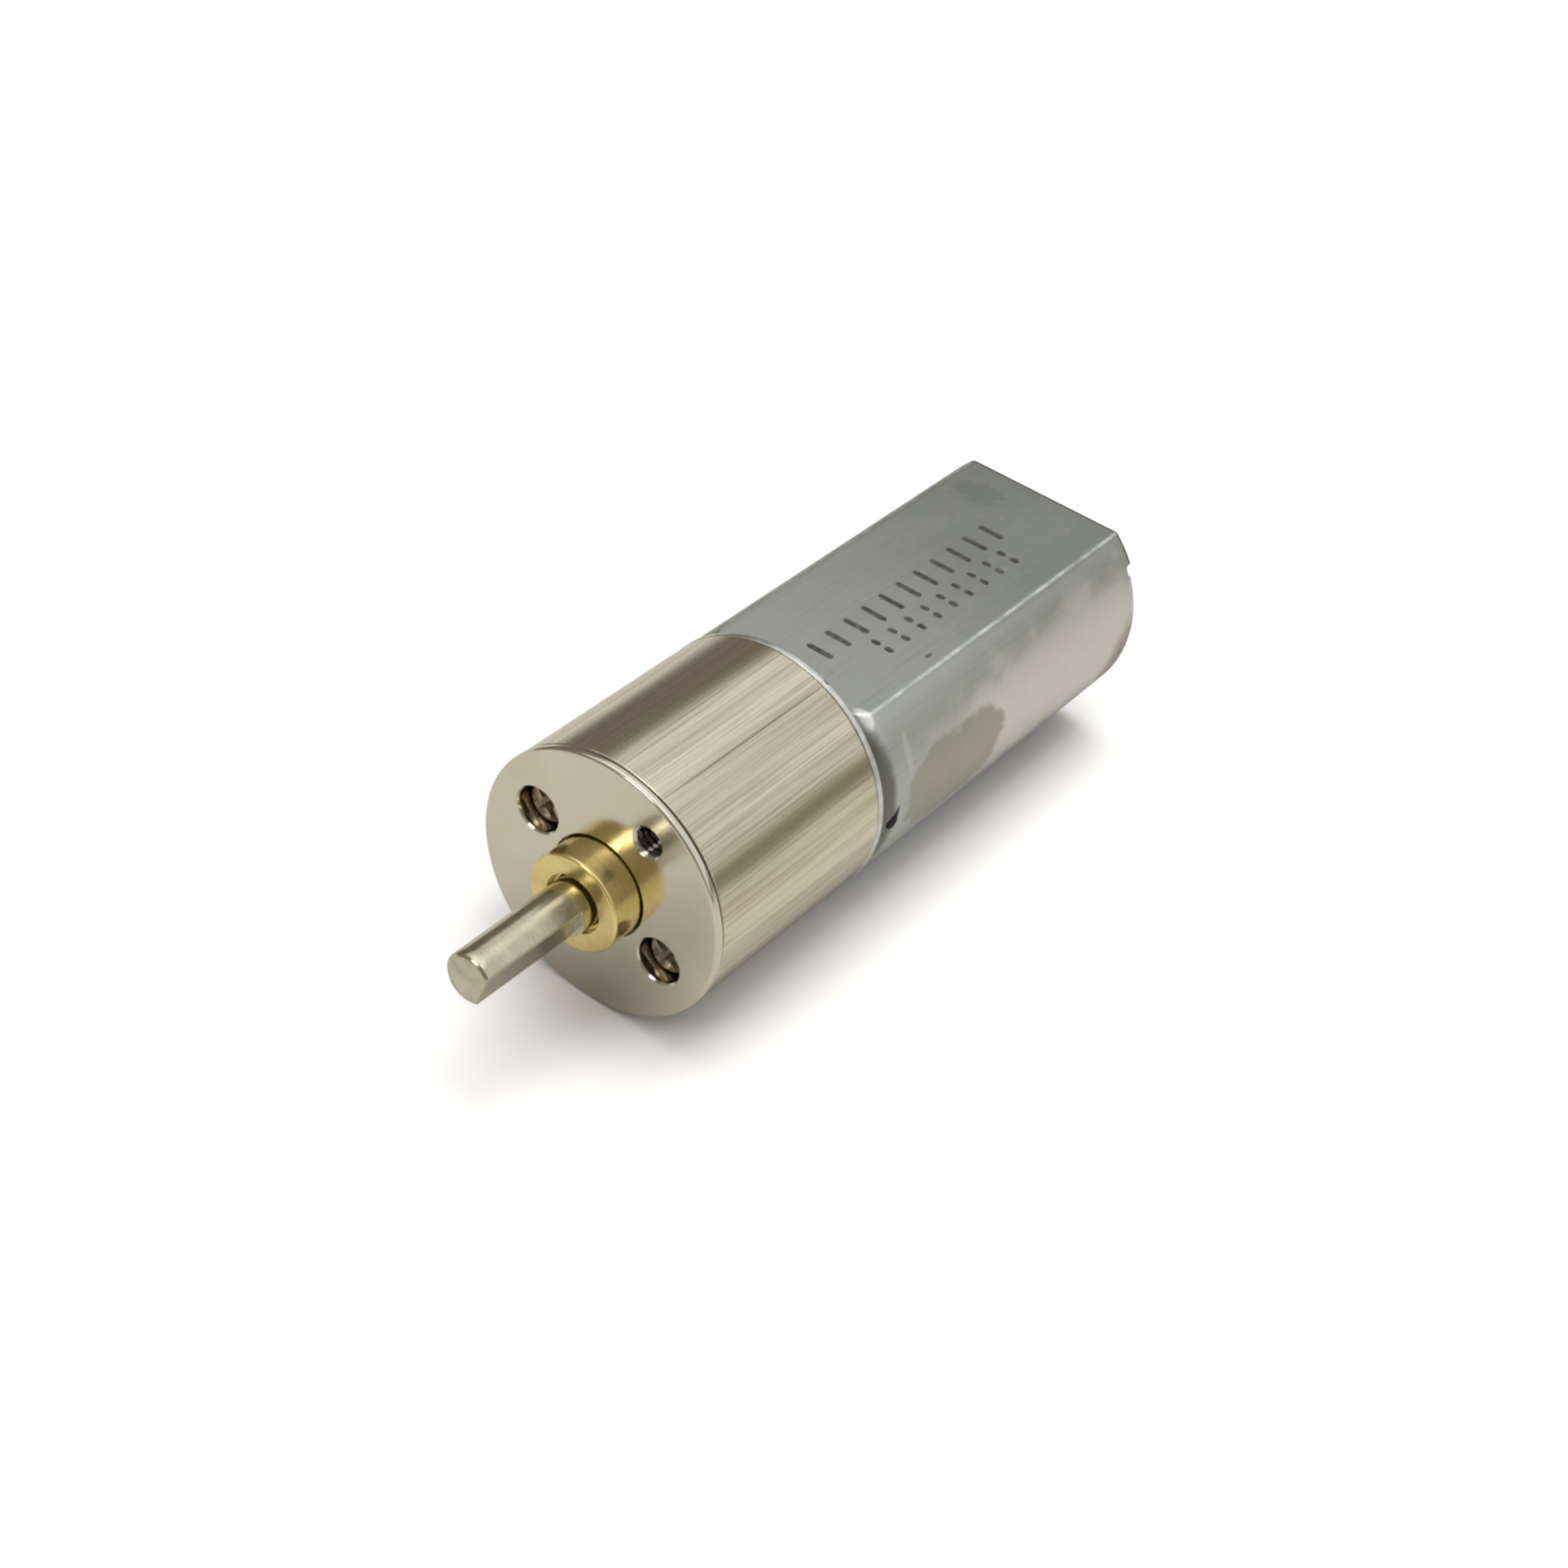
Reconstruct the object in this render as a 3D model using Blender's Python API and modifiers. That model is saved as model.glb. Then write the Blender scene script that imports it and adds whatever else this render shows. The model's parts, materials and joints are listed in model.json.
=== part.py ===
"""Small brushed DC gearmotor: a 16 mm round spur gearbox on a flat-sided motor can.

Every sub-part is its own object. The frame is +Z up, with the output shaft pointing along -Y:
y = 0 is the free end of the output shaft, and the whole drive lies on the Y axis.
Angles in the XZ plane are counted from +X towards +Z. Dimensions are in millimetres and are
scaled to metres as each mesh is made.
"""
import math

import bmesh
import bpy
from mathutils import Matrix

MM = 0.001
MERGE = 1e-6

# ---- Driving dimensions: stations along Y ---------------------------------------------------
FACE_Y = 10.0
BOSS_LENGTH = 2.05
PLATE_THICKNESS = 3.4
RIM_THICKNESS = 0.55
RING_FRONT_Y = 24.2
RING_BACK_Y = 24.65
SPIGOT_FRONT_Y = 23.4
CAN_FRONT_Y = 24.7
CAN_REAR_Y = 51.5
TERMINAL_END_Y = 54.3

# ---- Driving dimensions: across the axis ----------------------------------------------------
GEARBOX_RADIUS = 8.0
TUBE_RADIUS = 7.96
TUBE_WALL = 0.4
SPIGOT_RADIUS = 7.5
SHAFT_RADIUS = 1.5
SHAFT_FLAT_HEIGHT = 1.0
SHAFT_FLAT_END_Y = 7.2
SHAFT_FLAT_ANGLE = -16.2
TAIL_RADIUS = 0.6
BOSS_RADIUS = 2.94
SCREW_CIRCLE = 5.07
SCREW_ANGLES = {"left": 150.6, "right": -29.4}
COUNTERBORE_RADIUS = 1.365
COUNTERBORE_DEPTH = 2.2
MOUNT_HOLE_CIRCLE = 5.5
MOUNT_HOLE_ANGLES = (59.5, 239.5)
MOUNT_HOLE_RADIUS = 0.8
MOUNT_HOLE_MOUTH = 1.02
CAN_RADIUS = 7.92
CAN_FLAT = 5.9
CAN_WALL = 0.6
CAN_SHOULDER = 1.4
MOTOR_SCREW_X = 5.5
FIT_GAP = 0.05

# ---- Gear train: four reductions of 10 to 30 teeth ------------------------------------------
MODULE = 0.2
PINION_TEETH = 10
GEAR_TEETH = 30
PRESSURE_ANGLE = math.radians(20.0)
PROFILE_SHIFT = 0.4
BACKLASH = 0.05
PIN_CIRCLE = MODULE * (PINION_TEETH + GEAR_TEETH) / 2
PIN_A_ANGLE = 80.0
PIN_B_ANGLE = 260.0
PIN_RADIUS = 0.38
PIN_BORE = 0.42
LAYER_GAP = 0.25
LAYER_WIDTHS = (2.2, 1.6, 1.4, 1.2)

# ---- Motor ----------------------------------------------------------------------------------
ROTOR_RADIUS = 4.75
ROTOR_SHAFT_RADIUS = 0.5
CORE_Y = (28.6, 41.0)
MAGNET_Y = (27.5, 42.5)
COMMUTATOR_Y = (45.2, 47.4)
END_CAP_Y = (48.9, 51.0)
POLE_COUNT = 3

# ---- Facets round a turned piece ------------------------------------------------------------
LARGE = 48
MEDIUM = 28
SMALL = 16
TINY = 12

PLATE_BACK_Y = FACE_Y + PLATE_THICKNESS
RIM_BACK_Y = FACE_Y + RIM_THICKNESS
BUSH_FRONT_Y = FACE_Y - BOSS_LENGTH


def layer_stations():
    """Front and back Y of each gear layer, counted from the output end."""
    stations = []
    front = PLATE_BACK_Y + 0.35
    for width in LAYER_WIDTHS:
        stations.append((front, front + width))
        front += width + LAYER_GAP
    return stations


LAYERS = layer_stations()

COLOURS = {
    "nickel": ((0.60, 0.57, 0.49), 0.28, 1.0),
    "steel": ((0.50, 0.49, 0.47), 0.30, 1.0),
    "zinc": ((0.42, 0.44, 0.43), 0.42, 1.0),
    "brass": ((0.62, 0.47, 0.20), 0.30, 1.0),
    "bronze": ((0.45, 0.30, 0.16), 0.50, 1.0),
    "iron": ((0.22, 0.22, 0.23), 0.45, 1.0),
    "copper": ((0.72, 0.32, 0.16), 0.35, 1.0),
    "ferrite": ((0.05, 0.05, 0.055), 0.65, 0.0),
    "plastic": ((0.02, 0.02, 0.022), 0.50, 0.0),
    "carbon": ((0.03, 0.03, 0.03), 0.70, 0.0),
}


# ---- Scene helpers --------------------------------------------------------------------------
def clear_scene():
    for obj in list(bpy.data.objects):
        bpy.data.objects.remove(obj, do_unlink=True)


def new_collection(name):
    collection = bpy.data.collections.new(name)
    bpy.context.scene.collection.children.link(collection)
    return collection


def make_material(name):
    colour, roughness, metallic = COLOURS[name]
    material = bpy.data.materials.new(name)
    material.use_nodes = True
    shader = material.node_tree.nodes["Principled BSDF"]
    shader.inputs["Base Color"].default_value = (*colour, 1.0)
    shader.inputs["Roughness"].default_value = roughness
    shader.inputs["Metallic"].default_value = metallic
    return material


clear_scene()
PARTS = new_collection("gearmotor")
CUTTERS = new_collection("cutters")
MATERIALS = {name: make_material(name) for name in COLOURS}


def make_empty(name, x, z, parent):
    """An empty on a turning axis, which its moving pieces are parented to."""
    empty = bpy.data.objects.new(name, None)
    empty.empty_display_size = 2 * MM
    PARTS.objects.link(empty)
    empty.parent = parent
    empty.location = (x * MM, 0.0, z * MM)
    return empty


def add_part(obj, material, parent):
    PARTS.objects.link(obj)
    obj.data.materials.clear()
    obj.data.materials.append(MATERIALS[material])
    obj.parent = parent
    return obj


def hide_cutter(obj):
    CUTTERS.objects.link(obj)
    obj.hide_render = True
    obj.display_type = "WIRE"
    return obj


def combine(obj, other, operation, solver="EXACT"):
    """Add a Boolean of another object, which becomes a cutter."""
    modifier = obj.modifiers.new(operation.lower(), "BOOLEAN")
    modifier.operation = operation
    modifier.solver = solver
    modifier.object = hide_cutter(other)


def cut(obj, *cutters):
    for cutter in cutters:
        combine(obj, cutter, "DIFFERENCE")


def polar(radius, degrees):
    angle = math.radians(degrees)
    return radius * math.cos(angle), radius * math.sin(angle)


def arc(radius, start, end, steps, centre=(0.0, 0.0)):
    """Points of an arc in millimetres, from one angle to another in degrees."""
    points = []
    for step in range(steps + 1):
        x, z = polar(radius, start + (end - start) * step / steps)
        points.append((centre[0] + x, centre[1] + z))
    return points


# ---- Shape helpers --------------------------------------------------------------------------
def turned(name, profile, segments, closed=True, centre=(0.0, 0.0)):
    """Revolve (radius, y) points about the Y axis; the outer side runs from high y to low y."""
    mesh = bpy.data.meshes.new(name)
    edges = [(i, i + 1) for i in range(len(profile) - 1)]
    if closed:
        edges.append((len(profile) - 1, 0))
    mesh.from_pydata([(r * MM, y * MM, 0.0) for r, y in profile], edges, [])
    obj = bpy.data.objects.new(name, mesh)
    obj.location = (centre[0] * MM, 0.0, centre[1] * MM)
    screw = obj.modifiers.new("turn", "SCREW")
    screw.axis = "Y"
    screw.steps = segments
    screw.render_steps = segments
    screw.use_merge_vertices = True
    screw.merge_threshold = MERGE
    return obj


def ring(name, inner, outer, y0, y1, segments, centre=(0.0, 0.0)):
    profile = [(outer, y1), (outer, y0), (inner, y0), (inner, y1)]
    return turned(name, profile, segments, centre=centre)


def cylinder(name, radius, y0, y1, centre=(0.0, 0.0), segments=SMALL, end_radius=None):
    """A plain cylinder along Y, or a cone when the radius at y1 differs."""
    mesh = bpy.data.meshes.new(name)
    shape = bmesh.new()
    bmesh.ops.create_cone(
        shape, cap_ends=True, cap_tris=False, segments=segments, radius1=radius * MM,
        radius2=(radius if end_radius is None else end_radius) * MM, depth=(y1 - y0) * MM,
        matrix=Matrix.Translation((0.0, (y0 + y1) / 2 * MM, 0.0))
        @ Matrix.Rotation(math.radians(-90.0), 4, "X"))
    shape.to_mesh(mesh)
    shape.free()
    obj = bpy.data.objects.new(name, mesh)
    obj.location = (centre[0] * MM, 0.0, centre[1] * MM)
    return obj


def block(name, size, centre, turn=0.0):
    """A box turned about the Y axis by an angle from +X towards +Z."""
    mesh = bpy.data.meshes.new(name)
    shape = bmesh.new()
    about_y = Matrix.Rotation(math.radians(-turn), 4, "Y")
    place = about_y @ Matrix.Translation([c * MM for c in centre])
    stretch = Matrix.Diagonal((*[s * MM for s in size], 1.0))
    bmesh.ops.create_cube(shape, size=1.0, matrix=place @ stretch)
    shape.to_mesh(mesh)
    shape.free()
    return bpy.data.objects.new(name, mesh)


def extruded(name, outlines, depth, facing):
    """Fill flat outlines, the first with the others as holes, and give them a depth.

    The curve is drawn in millimetres, and its mesh is turned by facing and scaled to metres.
    """
    curve = bpy.data.curves.new(name, "CURVE")
    curve.dimensions = "2D"
    curve.fill_mode = "BOTH"
    curve.extrude = depth / 2
    for outline in outlines:
        spline = curve.splines.new("POLY")
        spline.points.add(len(outline) - 1)
        for point, (u, v) in zip(spline.points, outline):
            point.co = (u, v, 0.0, 1.0)
        spline.use_cyclic_u = True
    drawn = bpy.data.objects.new(name + "_outline", curve)
    CUTTERS.objects.link(drawn)
    bpy.context.view_layer.update()
    depsgraph = bpy.context.evaluated_depsgraph_get()
    mesh = bpy.data.meshes.new_from_object(drawn.evaluated_get(depsgraph))
    bpy.data.objects.remove(drawn, do_unlink=True)
    shape = bmesh.new()
    shape.from_mesh(mesh)
    bmesh.ops.remove_doubles(shape, verts=shape.verts, dist=1e-4)
    bmesh.ops.transform(shape, verts=shape.verts, matrix=facing @ Matrix.Scale(MM, 4))
    bmesh.ops.recalc_face_normals(shape, faces=shape.faces)
    if shape.calc_volume(signed=True) < 0.0:
        bmesh.ops.reverse_faces(shape, faces=shape.faces)
    shape.to_mesh(mesh)
    shape.free()
    mesh.name = name
    return bpy.data.objects.new(name, mesh)


def across_axis(name, outlines, y0, y1, centre=(0.0, 0.0)):
    """An outline in the XZ plane, extruded along Y from y0 to y1."""
    facing = (Matrix.Translation((0.0, (y0 + y1) / 2 * MM, 0.0))
              @ Matrix.Rotation(math.radians(90.0), 4, "X"))
    obj = extruded(name, outlines, y1 - y0, facing)
    obj.location = (centre[0] * MM, 0.0, centre[1] * MM)
    return obj


def bake_modifiers():
    """Apply every part's modifiers, shade it smooth and drop the cutters."""
    bpy.context.view_layer.update()
    depsgraph = bpy.context.evaluated_depsgraph_get()
    parts = [obj for obj in PARTS.objects if obj.type == "MESH"]
    baked = [bpy.data.meshes.new_from_object(obj.evaluated_get(depsgraph)) for obj in parts]
    for obj, mesh in zip(parts, baked):
        obj.modifiers.clear()
        obj.data = mesh
        mesh.name = obj.name
        mesh.shade_smooth()
        mesh.set_sharp_from_angle(angle=math.radians(32.0))
    for obj in list(CUTTERS.objects):
        bpy.data.objects.remove(obj, do_unlink=True)


# ---- Gears ----------------------------------------------------------------------------------
def involute(angle):
    return math.tan(angle) - angle


def tooth_half_angle(radius, teeth, shift):
    """Half the angle that one tooth fills at a radius, less its share of the backlash."""
    base = MODULE * teeth / 2 * math.cos(PRESSURE_ANGLE)
    at_radius = math.acos(min(1.0, base / radius))
    at_pitch = (math.pi / 2 + 2 * shift * math.tan(PRESSURE_ANGLE)) / teeth
    slack = BACKLASH / 2 / (MODULE * teeth / 2)
    return at_pitch + involute(PRESSURE_ANGLE) - involute(at_radius) - slack


def gear_outline(teeth, phase):
    """Involute teeth, the first one centred on the phase angle in degrees."""
    shift = PROFILE_SHIFT if teeth == PINION_TEETH else -PROFILE_SHIFT
    root = MODULE * (teeth / 2 - 1.25 + shift)
    tip = MODULE * (teeth / 2 + 1.0 + shift)
    base = MODULE * teeth / 2 * math.cos(PRESSURE_ANGLE)
    middle = (max(root, base) + tip) / 2
    flank = [root, middle, tip] if teeth == PINION_TEETH else [root, tip]
    half = [tooth_half_angle(max(radius, base), teeth, shift) for radius in flank]
    outline = []
    for tooth in range(teeth):
        centre = math.radians(phase) + 2 * math.pi * tooth / teeth
        rising = [(radius, centre - angle) for radius, angle in zip(flank, half)]
        falling = [(radius, centre + angle) for radius, angle in zip(flank, half)]
        for radius, angle in rising + falling[::-1]:
            outline.append((radius * math.cos(angle), radius * math.sin(angle)))
    return outline


def mesh_phase(phase, teeth, direction, mate_teeth):
    """Phase of a gear that meshes with another, seen from that one along direction."""
    return direction + 180.0 - teeth / mate_teeth * (phase - direction) + 180.0 / mate_teeth


def compound_gear(name, material, phase, pinion_layer, gear_layer, bore, parent):
    """A 30-tooth wheel with a 10-tooth pinion in front of it, on one bore."""
    pinion_y0 = LAYERS[pinion_layer][0] - (0.0 if pinion_layer == 0 else LAYER_GAP / 3)
    gear_y0, gear_y1 = LAYERS[gear_layer]
    wheel = across_axis(name, [gear_outline(GEAR_TEETH, phase)], gear_y0, gear_y1)
    pinion = across_axis(name + "_pinion", [gear_outline(PINION_TEETH, phase)],
                         pinion_y0, gear_y0 + 0.3)
    drill = cylinder(name + "_bore", bore, pinion_y0 - 1.0, gear_y1 + 1.0)
    combine(wheel, pinion, "UNION", "MANIFOLD")
    combine(wheel, drill, "DIFFERENCE", "MANIFOLD")
    pinion.parent = parent
    drill.parent = parent
    return add_part(wheel, material, parent)


# ---- Gearbox: fixed pieces ------------------------------------------------------------------
def front_plate(parent):
    spigot_recess = PLATE_BACK_Y - 0.7
    plate = turned("front_plate", [
        (SPIGOT_RADIUS, PLATE_BACK_Y), (SPIGOT_RADIUS, RIM_BACK_Y), (GEARBOX_RADIUS, RIM_BACK_Y),
        (GEARBOX_RADIUS, FACE_Y + 0.15), (GEARBOX_RADIUS - 0.15, FACE_Y), (3.17, FACE_Y),
        (3.17, FACE_Y + 0.4), (BOSS_RADIUS + FIT_GAP, FACE_Y + 0.4),
        (BOSS_RADIUS + FIT_GAP, spigot_recess), (3.4, spigot_recess), (3.4, PLATE_BACK_Y),
    ], LARGE)
    for side, angle in SCREW_ANGLES.items():
        centre = polar(SCREW_CIRCLE, angle)
        cut(plate,
            cylinder("counterbore_" + side, COUNTERBORE_RADIUS, FACE_Y - 1.0,
                     FACE_Y + COUNTERBORE_DEPTH, centre, 24),
            cylinder("clearance_" + side, 0.8, FACE_Y + 1.0, PLATE_BACK_Y + 1.0, centre))
    for index, angle in enumerate(MOUNT_HOLE_ANGLES):
        centre = polar(MOUNT_HOLE_CIRCLE, angle)
        mouth = MOUNT_HOLE_MOUTH - MOUNT_HOLE_RADIUS
        cut(plate,
            cylinder(f"mount_hole_{index}", MOUNT_HOLE_RADIUS, FACE_Y - 1.0, PLATE_BACK_Y + 1.0,
                     centre),
            cylinder(f"mount_mouth_{index}", MOUNT_HOLE_MOUTH + 0.5, FACE_Y - 0.5,
                     FACE_Y + mouth, centre, end_radius=MOUNT_HOLE_RADIUS))
    for label, angle in (("a", PIN_A_ANGLE), ("b", PIN_B_ANGLE)):
        cut(plate, cylinder("pin_seat_" + label, PIN_BORE, PLATE_BACK_Y - 1.2, PLATE_BACK_Y + 1.0,
                            polar(PIN_CIRCLE, angle)))
    return add_part(plate, "nickel", parent)


def output_bush(parent):
    bore = SHAFT_RADIUS + FIT_GAP
    flange_front = PLATE_BACK_Y - 0.65
    bush = turned("output_bush", [
        (3.35, PLATE_BACK_Y - FIT_GAP), (3.35, flange_front), (BOSS_RADIUS, flange_front),
        (BOSS_RADIUS, BUSH_FRONT_Y + 0.22), (BOSS_RADIUS - 0.22, BUSH_FRONT_Y),
        (1.75, BUSH_FRONT_Y), (1.75, BUSH_FRONT_Y + 0.5), (bore, BUSH_FRONT_Y + 0.5),
        (bore, PLATE_BACK_Y - FIT_GAP),
    ], MEDIUM)
    return add_part(bush, "brass", parent)


def gear_tube(parent):
    front = RIM_BACK_Y + FIT_GAP
    inner = TUBE_RADIUS - TUBE_WALL
    tube = turned("gear_tube", [
        (TUBE_RADIUS, RING_FRONT_Y - FIT_GAP), (TUBE_RADIUS, front + 0.08),
        (TUBE_RADIUS - 0.08, front), (inner, front), (inner, RING_FRONT_Y - FIT_GAP),
    ], LARGE)
    return add_part(tube, "nickel", parent)


def rear_plate(parent):
    plate = turned("rear_plate", [
        (7.98, RING_BACK_Y), (7.98, RING_FRONT_Y), (SPIGOT_RADIUS, RING_FRONT_Y),
        (SPIGOT_RADIUS, SPIGOT_FRONT_Y), (3.05, SPIGOT_FRONT_Y), (3.05, RING_BACK_Y),
    ], LARGE)
    front, back = SPIGOT_FRONT_Y - 1.0, RING_BACK_Y + 1.0
    for side, angle in SCREW_ANGLES.items():
        cut(plate, cylinder("rivet_hole_" + side, 0.75, front, back, polar(SCREW_CIRCLE, angle)))
    for side, x in (("left", -MOTOR_SCREW_X), ("right", MOTOR_SCREW_X)):
        cut(plate, cylinder("motor_hole_" + side, 0.78, front, back, (x, 0.0)))
    for label, angle in (("a", PIN_A_ANGLE), ("b", PIN_B_ANGLE)):
        cut(plate, cylinder("pin_seat_rear_" + label, PIN_BORE, front, SPIGOT_FRONT_Y + 0.9,
                            polar(PIN_CIRCLE, angle)))
    return add_part(plate, "zinc", parent)


def pillar(side, parent):
    """A threaded pillar that ties the front plate to the rear plate."""
    front = PLATE_BACK_Y + FIT_GAP
    shoulder = SPIGOT_FRONT_Y - FIT_GAP
    post = turned("pillar_" + side, [
        (0.0, RING_BACK_Y - 0.15), (0.7, RING_BACK_Y - 0.15), (0.7, shoulder), (1.3, shoulder),
        (1.3, front), (0.76, front), (0.76, front + 5.0), (0.0, front + 5.0),
    ], SMALL, closed=False, centre=polar(SCREW_CIRCLE, SCREW_ANGLES[side]))
    return add_part(post, "brass", parent)


def cross_outline(length, width):
    """A plus sign whose arms taper outwards, for a cross-recess screw head."""
    long, short = length / 2, width / 2
    corner = [(long, -short * 0.8), (long, short * 0.8), (short, short)]
    turns = ((1, 0), (0, 1), (-1, 0), (0, -1))
    return [(c * u - s * v, s * u + c * v) for c, s in turns for u, v in corner]


def screw(name, centre, head_y, head_length, head_radius, end_y, recess, parent):
    """A cross-recess screw whose head faces -Y."""
    neck = head_y + head_length
    body = turned(name, [
        (0.0, end_y), (0.5, end_y), (0.7, end_y - 0.2), (0.7, neck), (head_radius, neck),
        (head_radius, head_y + 0.2), (head_radius - 0.25, head_y), (0.0, head_y),
    ], SMALL, closed=False, centre=centre)
    cut(body, across_axis(name + "_recess", [cross_outline(recess, recess * 0.2)],
                          head_y - 0.5, head_y + head_length * 0.55, centre))
    return add_part(body, "steel", parent)


def case_screw(side, parent):
    head_y = FACE_Y + 0.8
    return screw("case_screw_" + side, polar(SCREW_CIRCLE, SCREW_ANGLES[side]), head_y,
                 FACE_Y + COUNTERBORE_DEPTH - FIT_GAP - head_y, 1.27, 17.5, 1.7, parent)


def motor_screw(side, x, parent):
    return screw("motor_screw_" + side, (x, 0.0), SPIGOT_FRONT_Y - 0.8, 0.75, 1.1, 25.9, 1.3,
                 parent)


def gear_pin(label, angle, parent):
    pin = cylinder("gear_pin_" + label, PIN_RADIUS, PLATE_BACK_Y - 1.15, SPIGOT_FRONT_Y + 0.85,
                   polar(PIN_CIRCLE, angle))
    return add_part(pin, "steel", parent)


def pin_spacer(name, angle, y0, y1, parent):
    spacer = ring(name, PIN_BORE, 0.7, y0, y1, SMALL, polar(PIN_CIRCLE, angle))
    return add_part(spacer, "brass", parent)


# ---- Gearbox: turning pieces ----------------------------------------------------------------
def output_shaft(parent):
    seat_end = LAYERS[0][1] + 0.05
    tail_end = LAYERS[2][1]
    shaft = turned("output_shaft", [
        (0.0, tail_end), (TAIL_RADIUS, tail_end), (TAIL_RADIUS, seat_end),
        (SHAFT_RADIUS, seat_end), (SHAFT_RADIUS, 0.2), (SHAFT_RADIUS - 0.2, 0.0), (0.0, 0.0),
    ], MEDIUM, closed=False)
    depth = 2.0
    cut(shaft, block("shaft_flat", (depth, 2 * SHAFT_FLAT_END_Y, 4.0),
                     (SHAFT_FLAT_HEIGHT + depth / 2, 0.0, 0.0), SHAFT_FLAT_ANGLE))
    return add_part(shaft, "steel", parent)


def output_gear(phase, parent):
    gear = across_axis("output_gear", [
        gear_outline(GEAR_TEETH, phase), arc(SHAFT_RADIUS + 0.03, 0.0, 345.0, 23),
    ], *LAYERS[0])
    return add_part(gear, "steel", parent)


def output_washer(parent):
    y0 = PLATE_BACK_Y + FIT_GAP
    washer = ring("output_washer", SHAFT_RADIUS + FIT_GAP, 2.4, y0, y0 + 0.2, 28)
    return add_part(washer, "bronze", parent)


def motor_pinion(phase, parent):
    y0, y1 = LAYERS[3]
    pinion = across_axis("motor_pinion", [
        gear_outline(PINION_TEETH, phase), arc(ROTOR_SHAFT_RADIUS + 0.03, 0.0, 330.0, 11),
    ], y0 - 0.1, y1 + 0.9)
    return add_part(pinion, "brass", parent)


# ---- Motor: fixed pieces --------------------------------------------------------------------
def cut_flats(obj, name, height):
    """Cut the two flats, above and below, off a turned shape."""
    thick = 4.0
    for label, sign in (("top", 1), ("bottom", -1)):
        cut(obj, block(f"{name}_{label}", (20.0, 60.0, thick),
                       (0.0, CAN_FRONT_Y + 14.0, sign * (height + thick / 2))))


def can_profile(radius, shoulder, front_y, rear_y):
    """Half outline of a drawn can, from its rear centre round the shoulder to its front."""
    bend = [(radius - shoulder + r, front_y + shoulder - y)
            for r, y in arc(shoulder, 0.0, 90.0, 5)]
    return [(0.0, rear_y), (radius, rear_y), *bend]


def motor_can(parent):
    can = turned("motor_can", [
        *can_profile(CAN_RADIUS, CAN_SHOULDER, CAN_FRONT_Y, CAN_REAR_Y),
        (3.0, CAN_FRONT_Y), (3.0, CAN_FRONT_Y - 0.95), (0.0, CAN_FRONT_Y - 0.95),
    ], LARGE, closed=False)
    cut_flats(can, "can_flat", CAN_FLAT)
    face = CAN_FRONT_Y + CAN_WALL
    cavity = turned("can_cavity", [
        *can_profile(CAN_RADIUS - CAN_WALL, CAN_SHOULDER - CAN_WALL, face, CAN_REAR_Y + 1.0),
        (0.0, face),
    ], LARGE, closed=False)
    cut_flats(cavity, "cavity_flat", CAN_FLAT - CAN_WALL)
    cut(can, cavity,
        cylinder("bearing_pocket", 2.4, CAN_FRONT_Y - 0.5, face + 0.5, segments=24),
        cylinder("shaft_hole", 1.25, CAN_FRONT_Y - 2.0, CAN_FRONT_Y))
    for label, sign in (("left", -1), ("right", 1)):
        cut(can, cylinder("thread_" + label, 0.78, CAN_FRONT_Y - 1.0, face + 1.0,
                          (sign * MOTOR_SCREW_X, 0.0)),
            block("vent_" + label, (3.0, 0.75, 1.3), (sign * 7.9, CAN_FRONT_Y + 1.15, 0.0)))
    for index, angle in enumerate((30.0, 150.0, 210.0, 330.0)):
        cut(can, block(f"crimp_slot_{index}", (3.0, 1.1, 0.8), (CAN_RADIUS, CAN_REAR_Y, 0.0),
                       angle))
    return add_part(can, "zinc", parent)


def magnet(side, middle, parent):
    outer, inner = CAN_RADIUS - CAN_WALL - FIT_GAP, ROTOR_RADIUS + 0.4
    outline = arc(outer, middle - 42.0, middle + 42.0, 12)
    outline += arc(inner, middle + 42.0, middle - 42.0, 12)
    return add_part(across_axis("magnet_" + side, [outline], *MAGNET_Y), "ferrite", parent)


def front_bearing(parent):
    bearing = ring("front_bearing", ROTOR_SHAFT_RADIUS + 0.04, 2.35, CAN_FRONT_Y - 0.45,
                   CAN_FRONT_Y + 0.9, SMALL)
    return add_part(bearing, "bronze", parent)


def end_cap(parent):
    front, back = END_CAP_Y
    boss = back + 1.1
    cap = turned("end_cap", [
        (0.0, boss), (2.5, boss), (2.6, boss - 0.1), (2.6, back),
        (CAN_RADIUS - CAN_WALL - FIT_GAP, back), (CAN_RADIUS - CAN_WALL - FIT_GAP, front),
        (0.0, front),
    ], LARGE, closed=False)
    cut_flats(cap, "cap_flat", CAN_FLAT - CAN_WALL - FIT_GAP)
    cut(cap, cylinder("rear_pocket", 1.85, front - 1.0, boss - 0.6, segments=24))
    for label, sign in (("left", -1), ("right", 1)):
        cut(cap, block("terminal_slot_" + label, (0.4, 8.0, 2.1), (sign * 4.0, back, -1.2)))
    return add_part(cap, "plastic", parent)


def rear_bearing(parent):
    bearing = ring("rear_bearing", ROTOR_SHAFT_RADIUS + 0.04, 1.8, END_CAP_Y[0] + 0.4,
                   END_CAP_Y[1] + 0.3, SMALL)
    return add_part(bearing, "bronze", parent)


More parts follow.
